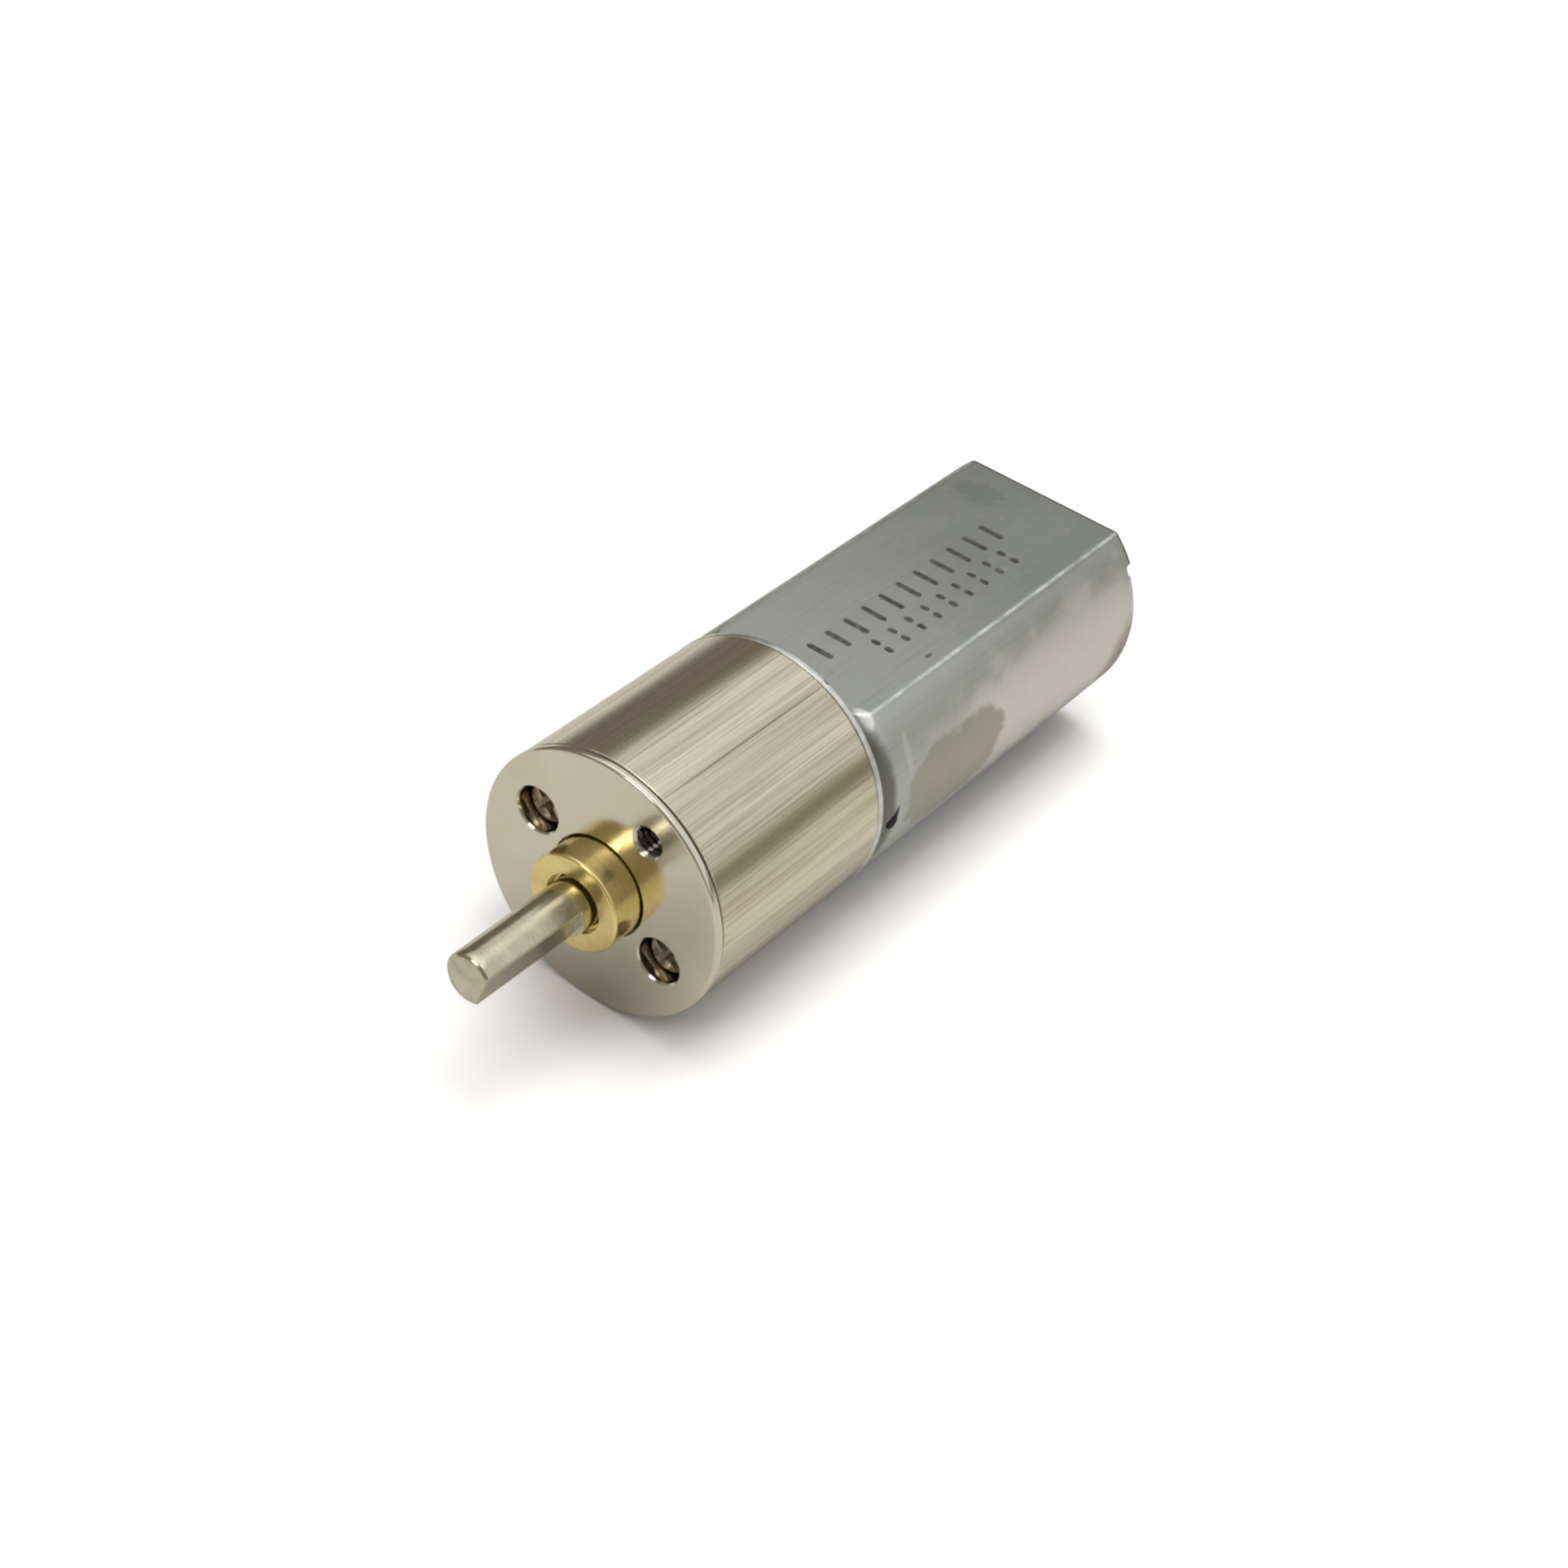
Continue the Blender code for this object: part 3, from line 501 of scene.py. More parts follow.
def nickel_plate():
    """Satin nickel with a very fine grain, faint clouding, and painted shade inside its holes and
    the recess round the bush.
    """
    finish = Finish("nickel_plate")
    clouds = finish.noise(0.35, 3.0)
    grain = finish.noise(14.0, 3.0)
    wear = finish.noise(2.2, 6.0, 0.7, 0.6)
    finish.base(clouds, 0.3, 0.7, (0.70, 0.65, 0.54), (0.75, 0.705, 0.60))
    finish.cover(wear, 0.64, 0.74, (0.0, 0.22), (0.56, 0.50, 0.40))
    # Painted shade: dark colours on the walls of the tapped holes, the screw counterbores and the
    # recess round the bush, behind the front face.
    holes = [(polar(TAPPED_CIRCLE, angle), 1.3, 0.96, (0.055, 0.040, 0.046))
             for angle in TAPPED_ANGLES]
    holes += [(mid_point("case_screw_" + side), 1.6, 0.6, (0.40, 0.31, 0.235)) for side in SIDES]
    holes.append(((0.0, 0.0), 3.3, 0.85, (0.13, 0.09, 0.06)))
    behind_face = finish.band("Y", FACE_Y + 0.1, FACE_Y + 0.3)
    finish.marks([((x, FACE_Y, z), (radius, 40.0, radius), amount, colour)
                  for (x, z), radius, amount, colour in holes], behind_face, softness=0.1)
    return finish.done(clouds, (0.13, 0.17), (grain, 0.0005))


def zinc_ring():
    """Bright zinc plating, with small pits and a dark nick on the rim."""
    finish = Finish("zinc_ring")
    clouds = finish.noise(1.6, 4.0)
    pits = finish.noise(5.0, 3.0, 0.6)
    finish.base(clouds, 0.35, 0.65, (0.62, 0.63, 0.60), (0.80, 0.81, 0.79))
    x, z = polar(RING_R, 68.1)
    finish.marks([((x, RING_BACK, z), (0.22, 0.22, 0.22), 0.85, (0.10, 0.10, 0.09))])
    return finish.done(clouds, (0.26, 0.36), (pits, 0.004))


def zinc_can():
    """Semi-matt zinc on drawn steel: fine grain, draw lines, clouds and a few stains, with painted
    reflections, highlights and shade on its sides, creases and rear edge.
    """
    finish = Finish("zinc_can")
    clouds = finish.noise((0.16, 0.10, 0.16), 4.0, 0.55)
    grain = finish.noise(18.0, 2.0)
    draw_lines = finish.noise((5.0, 0.12, 5.0), 4.0, 0.6)
    mottle = finish.noise((1.3, 0.9, 1.3), 5.0, 0.6, 0.4)
    # Painted light and shade: the round sides and the top flat are one zinc, given different base
    # colours for how each takes the light. Both get darker towards the rear.
    along = finish.band("Y", 26.0, 48.0)
    side = finish.mix(along, (0.53, 0.555, 0.52), (0.41, 0.425, 0.40))
    flat = finish.mix(along, (0.47, 0.495, 0.455), (0.315, 0.333, 0.308))
    finish.colour = finish.mix(finish.band("Z", CAN_FLAT - 0.3, CAN_FLAT - 0.05), side, flat)
    finish.cover(clouds, 0.4, 0.7, (0.0, 0.3), (0.5, 0.52, 0.49))
    finish.cover(draw_lines, 0.35, 0.5, (0.25, 0.0), (0.28, 0.29, 0.28))
    finish.cover(mottle, 0.55, 0.72, (0.0, 0.16), (0.56, 0.57, 0.53))
    finish.marks([((-2.9, 48.6, CAN_FLAT), (1.5, 1.1, 1.0), 0.45, (0.22, 0.25, 0.21))],
                 wobble=finish.remap(mottle, 0.0, 1.0, -1.1, 1.1))
    finish.marks([((4.44, 32.5, CAN_FLAT), (0.13, 0.32, 0.6), 0.7, (0.10, 0.10, 0.09))])
    ragged = finish.remap(finish.noise((0.42, 0.30, 0.42), 3.5, 0.5, 0.5), 0.2, 0.8, -0.3, 0.3)
    # Painted reflections on the round side: a pale patch of reflected floor towards the rear, and a
    # darker reflected band in the middle, both with ragged edges.
    pale = ((7.7, 43.5, 1.2), (3.6, 14.0, 3.7), 0.8, (0.79, 0.77, 0.735))
    painted_dark_reflection = ((CAN_R, 31.6, 0.3), (3.0, 4.9, 2.8), 0.9, (0.40, 0.395, 0.335))
    finish.marks([pale], wobble=ragged, softness=0.32)
    finish.marks([painted_dark_reflection], wobble=ragged, softness=0.09)
    # Painted light on the round side: a dark band of shade just behind the ring, a light streak of
    # reflection near the front, a bright highlight at the front corner of the top flat, and shade at
    # the lower rear.
    x, z = polar(CAN_R, 26.0)
    finish.marks((
        ((7.3, 25.1, 1.0), (3.0, 0.85, 5.0), 0.85, (0.16, 0.16, 0.13)),
        ((x, 27.4, z), (0.9, 0.24, 1.5), 0.35, (0.85, 0.85, 0.82)),
        ((5.1, 25.5, 5.6), (0.75, 0.36, 0.8), 0.9, (0.95, 0.95, 0.93)),
        ((7.0, CAN_REAR, -2.2), (3.0, 2.4, 3.4), 0.85, (0.30, 0.29, 0.225)),
    ), wobble=finish.remap(mottle, 0.0, 1.0, -0.2, 0.2))
    # Painted highlight: a thin bright line along each crease between the top flat and the round
    # sides, stronger and fainter with the mottle.
    crease_x = math.sqrt(CAN_R ** 2 - CAN_FLAT ** 2)
    painted_highlight_strength = finish.remap(mottle, 0.35, 0.62, 0.10, 0.62)
    finish.marks([((x, 38.0, CAN_FLAT), (0.11, 60.0, 0.11), 1.0, (0.93, 0.945, 0.925))
                  for x in (-crease_x, crease_x)], painted_highlight_strength)
    # Painted shade: a dark line along the rear edge.
    edge = finish.maths("MULTIPLY", finish.band("Y", CAN_REAR - 0.3, CAN_REAR - 0.15), 0.75)
    finish.colour = finish.mix(edge, finish.colour, (0.11, 0.115, 0.10))
    return finish.done(mottle, (0.48, 0.38),
                       (clouds, 0.020), (draw_lines, 0.0022), (grain, 0.0012))


def turned_brass():
    """Brass with fine turning grooves round the axis."""
    finish = Finish("turned_brass")
    grooves = finish.noise((0.6, 13.0, 0.6), 3.0)
    clouds = finish.noise(0.9, 4.0)
    finish.base(clouds, 0.3, 0.7, (0.82, 0.67, 0.28), (0.93, 0.78, 0.38))
    finish.cover(grooves, 0.40, 0.55, (0.25, 0.0), (0.50, 0.37, 0.13))
    return finish.done(clouds, (0.30, 0.20), (grooves, 0.0016))


def wound_wire():
    """Enamelled copper wire, with painted shade where its turns meet."""
    finish = Finish("winding", Metallic=0.85, Coat_Weight=0.5, Coat_Roughness=0.15)
    turns = finish.noise((9.0, 0.4, 9.0), 2.0)
    # Painted shade: the dark end of the colour falls where the relief of the turns is low, between
    # the wires.
    finish.base(turns, 0.35, 0.65, (0.30, 0.085, 0.025), (0.66, 0.27, 0.10))
    return finish.done(turns, (0.38, 0.28), (turns, 0.03))


def marking_ink():
    """Black marking ink, thinner here and there."""
    finish = Finish("marking_ink", Metallic=0.0)
    thin = finish.noise(3.0, 3.0)
    finish.base(thin, 0.4, 0.7, (0.022, 0.020, 0.020), (0.07, 0.068, 0.066))
    return finish.done(thin, (0.45, 0.62))


# Dark and light colour, roughness, and tool marks a millimetre along X, Y and Z.
CUT_METALS = {
    "gear_brass": ((0.60, 0.43, 0.16), (0.80, 0.62, 0.27), 0.30, 7.0),
    "terminal_brass": ((0.62, 0.57, 0.44), (0.80, 0.76, 0.64), 0.30, (3.0, 9.0, 3.0)),
    "bearing_bronze": ((0.36, 0.22, 0.11), (0.50, 0.33, 0.18), 0.50, 7.0),
    "copper": ((0.60, 0.27, 0.14), (0.80, 0.42, 0.25), 0.32, (2.0, 9.0, 2.0)),
    "screw_steel": ((0.40, 0.35, 0.285), (0.60, 0.54, 0.45), 0.28, 7.0),
    "gear_steel": ((0.42, 0.42, 0.41), (0.58, 0.58, 0.57), 0.32, 7.0),
    "shaft_steel": ((0.53, 0.495, 0.375), (0.67, 0.63, 0.49), 0.20, (1.2, 16.0, 1.2)),
    "core_iron": ((0.17, 0.17, 0.175), (0.27, 0.27, 0.28), 0.42, (0.3, 3.0, 0.3)),
}
# Dark and light colour, roughness, depth of the texture, and its features a millimetre.
DULL_SOLIDS = {
    "ferrite": ((0.035, 0.035, 0.038), (0.07, 0.07, 0.074), 0.68, 0.010, 9.0),
    "carbon": ((0.018, 0.018, 0.019), (0.045, 0.045, 0.046), 0.58, 0.008, 12.0),
    "cap_plastic": ((0.018, 0.018, 0.020), (0.032, 0.032, 0.034), 0.44, 0.006, 11.0),
}


def cut_metal(name, dark, light, shine, per_mm):
    """A machined metal with tool marks of a given density."""
    finish = Finish(name)
    tooling = finish.noise(per_mm, 4.0, 0.6)
    finish.base(finish.noise(0.8, 3.0), 0.3, 0.7, dark, light)
    finish.cover(tooling, 0.35, 0.5, (0.25, 0.0), [channel * 0.6 for channel in dark])
    return finish.done(tooling, (shine + 0.06, shine - 0.06), (tooling, 0.0015))


def dull_solid(name, dark, light, shine, relief_mm, per_mm):
    """A matt, non-metallic solid with a fine surface texture."""
    finish = Finish(name, Metallic=0.0)
    texture = finish.noise(per_mm, 4.0, 0.6)
    finish.base(finish.noise(0.5, 3.0), 0.3, 0.7, dark, light)
    return finish.done(texture, (shine + 0.08, shine - 0.08), (texture, relief_mm))


def make_materials():
    """One finish for each material slot of the record."""
    materials = {
        "nickel_plate": nickel_plate(), "nickel_tube": nickel_tube(), "zinc_ring": zinc_ring(),
        "zinc_can": zinc_can(), "turned_brass": turned_brass(), "winding": wound_wire(),
    }
    materials |= {name: cut_metal(name, *values) for name, values in CUT_METALS.items()}
    materials |= {name: dull_solid(name, *values) for name, values in DULL_SOLIDS.items()}
    return materials


# ---- Gearbox ----
def thread_radius(angle, y):
    """How far from its axis a V thread is, at an angle and a station."""
    phase = (y / THREAD_PITCH - angle / 360.0) % 1.0
    height = 1.0 - abs(2.0 * phase - 1.0)
    return THREAD_CREST_R + (THREAD_ROOT_R - THREAD_CREST_R) * height


def thread_cutter(name, centre):
    """A rod with a V thread round it, which leaves a tapped hole when it is cut away."""
    rows_per_turn, columns, past = 10, 48, 0.4
    y0, y1 = FACE_Y - past, PLATE_BACK + past
    rows = int((y1 - y0) / THREAD_PITCH * rows_per_turn)
    stations = [y0 + (y1 - y0) * row / rows for row in range(rows + 1)]
    angles = [360.0 * column / columns for column in range(columns)]
    return skin(name, [ring_of(lambda angle: thread_radius(angle, y), y, angles, centre)
                       for y in stations])


def mouth_cutter(name, centre, bore, mouth, depth, floor_y):
    """A round cutter whose mouth flares to a small countersink at the front face."""
    past = 0.4
    return turned(name, [
        (mouth + past, FACE_Y - past, 0.0), (mouth, FACE_Y, 0.0), (bore, FACE_Y + depth, 0.0),
        (bore, floor_y, 0.0)], 72, centre, looped=False)


def front_plate():
    """The thick front plate: rim, seat of the brass bush, screw counterbores and tapped holes."""
    seat, seat_r = PLATE_BACK - 0.7, 3.4
    relief, relief_r = FACE_Y + 0.4, 3.07
    bore = BOSS_R + 0.05
    plate = turned("plate_front", [
        (SPIGOT_R, PLATE_BACK, 0.1), (SPIGOT_R, RIM_BACK, 0.0), (GEARBOX_R, RIM_BACK, 0.07),
        (GEARBOX_R, FACE_Y, 0.2), (relief_r, FACE_Y, 0.03), (relief_r, relief, 0.03),
        (bore, relief, 0.0), (bore, seat, 0.0), (seat_r, seat, 0.0), (seat_r, PLATE_BACK, 0.0),
    ], 256)
    cutters = []
    clearance_r, chamfer = 0.8, 0.09
    for side in SIDES:
        centre = mid_point("case_screw_" + side)
        cutters.append(mouth_cutter("counterbore_" + side, centre, SCREW_BORE_R,
                                    SCREW_BORE_R + chamfer, chamfer, FACE_Y + SCREW_BORE_DEPTH))
        cutters.append(drill("clearance_" + side, clearance_r, FACE_Y + 1.0, PLATE_BACK + PAST,
                             48, centre))
    tapped_mouth_r, tapped_mouth_depth = 0.99, 0.17
    for index, angle in enumerate(TAPPED_ANGLES):
        centre = polar(TAPPED_CIRCLE, angle)
        cutters.append(thread_cutter(f"tapped_hole_{index}", centre))
        cutters.append(mouth_cutter(f"tapped_mouth_{index}", centre, THREAD_CREST_R,
                                    tapped_mouth_r, tapped_mouth_depth, FACE_Y + 0.6))
    for label in ("a", "b"):
        cutters.append(drill("pin_seat_" + label, PIN_R, PLATE_BACK - 1.2, PLATE_BACK + PAST, 36,
                             mid_point("gear_pin_" + label)))
    boolean(plate, cutters)
    place(plate, "front_plate")


def output_bush():
    """The brass bush: a boss through the plate, a flange behind it and a wider mouth."""
    front, back, flange = bush_low.y, bush_high.y, PLATE_BACK - 0.65
    flange_r, mouth_r, mouth = 3.35, 1.75, front + 0.5
    bush = turned("bush_output", [
        (flange_r, back, 0.05), (flange_r, flange, 0.05), (BOSS_R, flange, 0.0),
        (BOSS_R, front, 0.17), (mouth_r, front, 0.08), (mouth_r, mouth, 0.05),
        (BUSH_BORE, mouth, 0.04), (BUSH_BORE, back, 0.05)])
    place(bush, "output_bush")


def screw(node, name, neck, arm, turn):
    """A cheese-head screw whose head faces forwards, with a tapered cross recess."""
    low, high = span(node)
    centre = mid_point(node)
    head, head_r = low.y, outer_radius(node)
    thread_r, point_r = 0.7, 0.45
    body = turned(name, [
        (point_r, high.y, 0.0), (thread_r, high.y - 0.25, 0.0), (thread_r, neck, 0.05),
        (head_r, neck, 0.06), (head_r, head, head_r * 0.236), (head_r * 0.3, head, 0.0),
    ], 96, centre, looped=False)
    width = arm * 0.24
    corner = [(arm, -width * 0.8, 0.04), (arm, width * 0.8, 0.04), (width, width, 0.05)]
    quarter_turns = ((1, 0), (0, 1), (-1, 0), (0, -1))
    cross = rotated(rounded([(c * u - s * v, s * u + c * v, r) for c, s in quarter_turns
                             for u, v, r in corner], 3), turn)
    above, head_height = head - 0.3, neck - head
    recess = bar(name + "_recess", [
        (y, [(centre[0] + u * scale, centre[1] + v * scale) for u, v in cross])
        for y, scale in ((above, 1.3), (head + head_height * 0.75, 0.5))])
    dimple = turned(name + "_dimple", [
        (arm * 0.76, above, 0.0), (arm * 0.457, head, 0.0), (0.12, head + head_height * 0.55, 0.0),
    ], 48, centre, looped=False)
    boolean(body, [recess, dimple])
    place(body, node)


def gear_tube():
    inner = TUBE_R - 0.4
    tube = turned("tube_gearbox", [
        (TUBE_R, tube_high.y, 0.05), (TUBE_R, tube_low.y, 0.09), (inner, tube_low.y, 0.04),
        (inner, tube_high.y, 0.04)], 320)
    place(tube, "gear_tube")


def rear_plate():
    """The plate between gearbox and motor, whose rim shows as a bright ring."""
    bore, front = 3.05, ring_low.y
    plate = turned("plate_rear", [
        (RING_R, RING_BACK, 0.12), (RING_R, RING_FRONT, 0.08), (SPIGOT_R, RING_FRONT, 0.0),
        (SPIGOT_R, front, 0.1), (bore, front, 0.0), (bore, RING_BACK, 0.0)], 320)
    holes = [(kind + side, radius, RING_BACK + PAST, 48)
             for kind, radius in (("case_screw_", 0.75), ("motor_screw_", MOTOR_THREAD_R))
             for side in SIDES]
    holes += [("gear_pin_" + label, PIN_R, front + 0.9, 36) for label in ("a", "b")]
    boolean(plate, [drill(node + "_hole", radius, front - PAST, end, segments, mid_point(node))
                    for node, radius, end, segments in holes])
    place(plate, "rear_plate")


def shaft_radius(angle, radius, filled):
    """How far from its axis the shaft's side is, from cut by the flat to filled out to a circle."""
    facing = polar(1.0, angle - FLAT_ANGLE)[0]
    to_flat = FLAT_HEIGHT / facing if facing > 0.3 else 99.0
    cut = nearer(radius, to_flat, 90.0)
    return cut + (radius - cut) * filled


def output_shaft():
    """The D shaft: a round bar whose flat ends in a short milled step, and a thin tail."""
    columns = 288
    tail_r, seat_end = 0.6, span("output_gear")[1].y + 0.05
    stations = [(0.0, SHAFT_R - 0.17, 0.0), (0.02, SHAFT_R - 0.14, 0.0),
                (0.13, SHAFT_R - 0.02, 0.0), (0.17, SHAFT_R, 0.0), (0.6, SHAFT_R, 0.0)]
    stations += [(FLAT_END + offset, SHAFT_R, filled)
                 for offset, filled in ((-0.3, 0.0), (-0.06, 0.0), (-0.02, 0.06), (0.0, 1.0),
                                        (0.05, 1.0), (0.8, 1.0))]
    stations += [(12.0, SHAFT_R, 1.0), (seat_end, SHAFT_R, 1.0), (seat_end, tail_r, 1.0),
                 (shaft_high.y - 0.1, tail_r, 1.0), (shaft_high.y, tail_r - 0.08, 1.0)]
    angles = [360.0 * column / columns for column in range(columns)]
    shaft = skin("shaft_output", [
        ring_of(lambda angle: shaft_radius(angle, radius, filled), y, angles)
        for y, radius, filled in stations])
    place(shaft, "output_shaft")


# ---- Motor ----
def can_angles():
    """Angles round the can, closest together where the flats meet the round sides."""
    parts = ((0.0, 3.0, 14), (42.0, 0.5, 52), (68.0, 2.2, 11))
    quarter = [start + step * gap for start, gap, count in parts for step in range(count)]
    return sorted({round(angle, 3) % 360.0 for a in quarter
                   for angle in (a, 180.0 - a, 180.0 + a, 360.0 - a)})


def flatted_ring(radius, flat, y, angles, shape=None):
    """A ring of the can's section: a circle cut by two flats, with softly rounded creases."""
    def reach(angle):
        to_flat = flat / max(abs(polar(1.0, angle)[1]), 1e-3)
        inwards = shape(angle, y) if shape is not None else 0.0
        return nearer(radius, to_flat, CREASE_SHARPNESS) - inwards

    return ring_of(reach, y, angles)


def shoulder_stations(radius, flat, bend, front, steps):
    """Radius, flat and Y of the rings round a drawn shoulder, from side wall to front face."""
    return [(radius - bend + r, flat, front + bend - y)
            for r, y in arc(bend, 0.0, 90.0, steps)]


def curl(angle, y):
    """How far the rear edge bends inwards on the two tongues between the crimp slots."""
    from_side = abs((angle + 90.0) % 180.0 - 90.0)
    rise = min(max((y - (CAN_REAR - 0.5)) / 0.5, 0.0), 1.0)
    return 0.34 * rise * rise if from_side < 30.0 else 0.0


def motor_can():
    """The drawn can: round sides, two flats, a shoulder, a bearing boss, vents and crimp slots."""
    inside, inside_flat = CAN_R - CAN_WALL, CAN_FLAT - CAN_WALL
    face, boss, lip = CAN_FRONT + CAN_WALL, can_low.y, 0.05
    straight = [CAN_REAR - back for back in (0.05, 0.15, 0.3, 0.5, 0.7)] + [46.0, 36.0, 28.0]
    stations = [(CAN_R - lip, CAN_FLAT - lip, CAN_REAR)]
    stations += [(CAN_R, CAN_FLAT, y) for y in straight]
    stations += shoulder_stations(CAN_R, CAN_FLAT, CAN_SHOULDER, CAN_FRONT, 14)
    stations += [(radius, CAN_FLAT, y) for radius, y in (
        (4.5, CAN_FRONT), (3.05, CAN_FRONT), (3.0, CAN_FRONT - 0.05), (3.0, boss + 0.15),
        (2.85, boss), (1.3, boss), (1.25, boss + 0.05), (1.25, CAN_FRONT - 0.5),
        (2.4, CAN_FRONT - 0.5), (2.4, face))]
    stations += shoulder_stations(inside, inside_flat, CAN_SHOULDER - CAN_WALL, face, 6)[::-1]
    stations += [(inside, inside_flat, y) for y in reversed(straight)]
    stations += [(inside + lip, inside_flat + lip, CAN_REAR)]
    angles = can_angles()
    can = skin("can_motor", [flatted_ring(*station, angles, curl) for station in stations],
               looped=True)
    cutters = []
    teardrop = arc(0.42, 150.0, 390.0, 14, (25.84, -0.3)) + [(26.3, 0.82)]
    for sign, side in ((-1, "left"), (1, "right")):
        cutters.append(slab("vent_" + side, teardrop, sign * 6.0, sign * 9.0))
        cutters.append(drill("motor_thread_" + side, MOTOR_THREAD_R, boss - PAST, face + 0.6, 48,
                             mid_point("motor_screw_" + side)))
    for index, angle in enumerate((30.0, 150.0, 210.0, 330.0)):
        cutters.append(slot_cutter(index, angle))
    boolean(can, cutters)
    place(can, "motor_can")


def slot_cutter(index, angle):
    """A crimp slot in the rear edge, open to the rear, with a round foot."""
    half, foot = 0.4, CAN_REAR - 0.55
    outline = [(-half, CAN_REAR + PAST)]
    for sign, start in ((-1, 180.0), (1, 270.0)):
        outline += arc(half * 0.6, start, start + 90.0, 4, (sign * half * 0.4, foot + 0.24))
    outline.append((half, CAN_REAR + PAST))
    rings = []
    for radius in (CAN_R - 1.6, CAN_R + 1.0):
        ring = []
        for across, y in outline:
            x, z = polar(radius, angle)
            side_x, side_z = polar(across, angle + 90.0)
            ring.append((x + side_x, y, z + side_z))
        rings.append(ring)
    return skin(f"crimp_slot_{index}", rings)


def end_cap():
    """The moulded cap that closes the can, with a bearing boss, ribs and terminal sockets."""
    back, front, boss = CAN_REAR - 0.5, cap_low.y, cap_high.y
    gap, round_only, rib_start = 0.05, 99.0, 3.1
    radius, flat = CAN_R - CAN_WALL - gap, CAN_FLAT - CAN_WALL - gap
    stations = [(1.9, round_only, front)]
    stations += [(radius - inset, flat - inset, y) for inset, y in (
        (0.1, front), (0.0, front + 0.1), (0.0, back - 0.14), (0.04, back - 0.04), (0.14, back),
        (0.8, back), (0.86, back - 0.22))]
    stations += [(r, round_only, y) for r, y in (
        (3.5, back - 0.22), (3.44, back), (2.75, back), (2.62, back + 0.1), (2.6, boss - 0.2),
        (2.54, boss - 0.06), (2.4, boss), (1.2, boss), (1.1, boss - 0.15))]
    angles = can_angles()
    cap = skin("cap_rear", [flatted_ring(*station, angles) for station in stations])
    ribs = []
    for angle in (45.0, 90.0, 135.0, 225.0, 270.0, 315.0):
        end = min(radius, flat / abs(polar(1.0, angle)[1])) - 0.3
        ribs.append(box_cutter(f"rib_{angle:.0f}", (end - rib_start, 0.30, 0.5),
                               ((end + rib_start) / 2, back - 0.17, 0.0), angle))
    slots = [drill("bearing_pocket", 1.85, front - PAST, boss - 0.6, 64)]
    for side in SIDES:
        x, z = mid_point("terminal_" + side)
        ribs.append(box_cutter("socket_" + side, (1.5, 0.75, 3.0), (x, back + 0.1, z)))
        slots.append(box_cutter("terminal_slot_" + side, (0.4, 8.0, 2.1), (x, back, z)))
    boolean(cap, ribs, "UNION")
    boolean(cap, slots)
    soften(cap, 0.045)
    place(cap, "end_cap")


def terminal(side):
    """A solder tab with clipped corners and a wire hole."""
    node = "terminal_" + side
    low, high = span(node)
    clip, hole_r, hole_y, past = 0.6, 0.45, high.y - 1.2, 0.2
    outline = [(low.y, low.z, 0.0), (low.y, high.z, 0.0)]
    outline += [(high.y - clip, high.z, 0.2), (high.y, high.z - clip, 0.2),
                (high.y, low.z + clip, 0.2), (high.y - clip, low.z, 0.2)]
    tab = slab("tab_" + side, rounded(outline, 3), low.x, high.x)
    hole = arc(hole_r, 0.0, 352.5, 47, (hole_y, (low.z + high.z) / 2))
    boolean(tab, [slab("wire_hole", hole, low.x - past, high.x + past)])
    soften(tab, 0.05)
    place(tab, node)


def ink_marks():
    """Plain printed bars and dashes on the top flat, in place of any lettering."""
    half_width, height, lift = 0.19, 0.010, 0.001
    dashes = [(-0.75, 0.65, 28.3 + bar * 1.72) for bar in range(11)]
    for pair in range(9):
        y = 31.3 + pair * 1.6
        dashes += [(1.55, 1.78, y), (2.47, 2.70, y)]
    vertices, faces = [], []
    for x0, x1, y in dashes:
        outline = arc(half_width, 90.0, 270.0, 8, (x0, y)) + arc(half_width, -90.0, 90.0, 8, (x1, y))
        rings = [[(u, v, z) for u, v in outline]
                 for z in (CAN_FLAT + lift, CAN_FLAT + lift + height)]
        more_vertices, more_faces = skin_over(rings, first=len(vertices))
        vertices += more_vertices
        faces += more_faces
    marks = closed_mesh("ink_marks", vertices, faces)
    shade(marks, marking_ink())
    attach(marks, "housing")


# ---- Pieces inside the housings ----
def turned_piece(node, corners, segments, **settings):
    """Turn an outline about a CAD node's own axis, and let it stand for the node."""
    place(turned("fine_" + node, corners, segments, mid_point(node), **settings), node)


def sleeve(node, bore):
    """A plain ring on a pin or shaft."""
    low, high = span(node)
    radius, rounding = outer_radius(node), 0.06
    turned_piece(node, [(radius, high.y, rounding), (radius, low.y, rounding),
                        (bore, low.y, rounding), (bore, high.y, rounding)], 96, steps=3)


def pin(node):
    """A round bar with a chamfer at each end."""
    low, high = span(node)
    radius, chamfer = outer_radius(node), 0.1
    turned_piece(node, [
        (radius - chamfer, high.y, 0.0), (radius, high.y - chamfer, 0.0),
        (radius, low.y + chamfer, 0.0), (radius - chamfer, low.y, 0.0)], 64, looped=False)


def pillar(side):
    """A threaded pillar: a post with a blind hole in front and a thin foot in the rear plate."""
    node = "pillar_" + side
    low, high = span(node)
    radius, foot, hole, shoulder = outer_radius(node), 0.7, 0.76, ring_low.y - 0.05
    turned_piece(node, [
        (foot - 0.1, high.y, 0.0), (foot, high.y - 0.1, 0.0), (foot, shoulder, 0.05),
        (radius, shoulder, 0.12), (radius, low.y, 0.12), (hole, low.y, 0.06),
        (hole, low.y + 5.0, 0.0)], 96, looped=False)


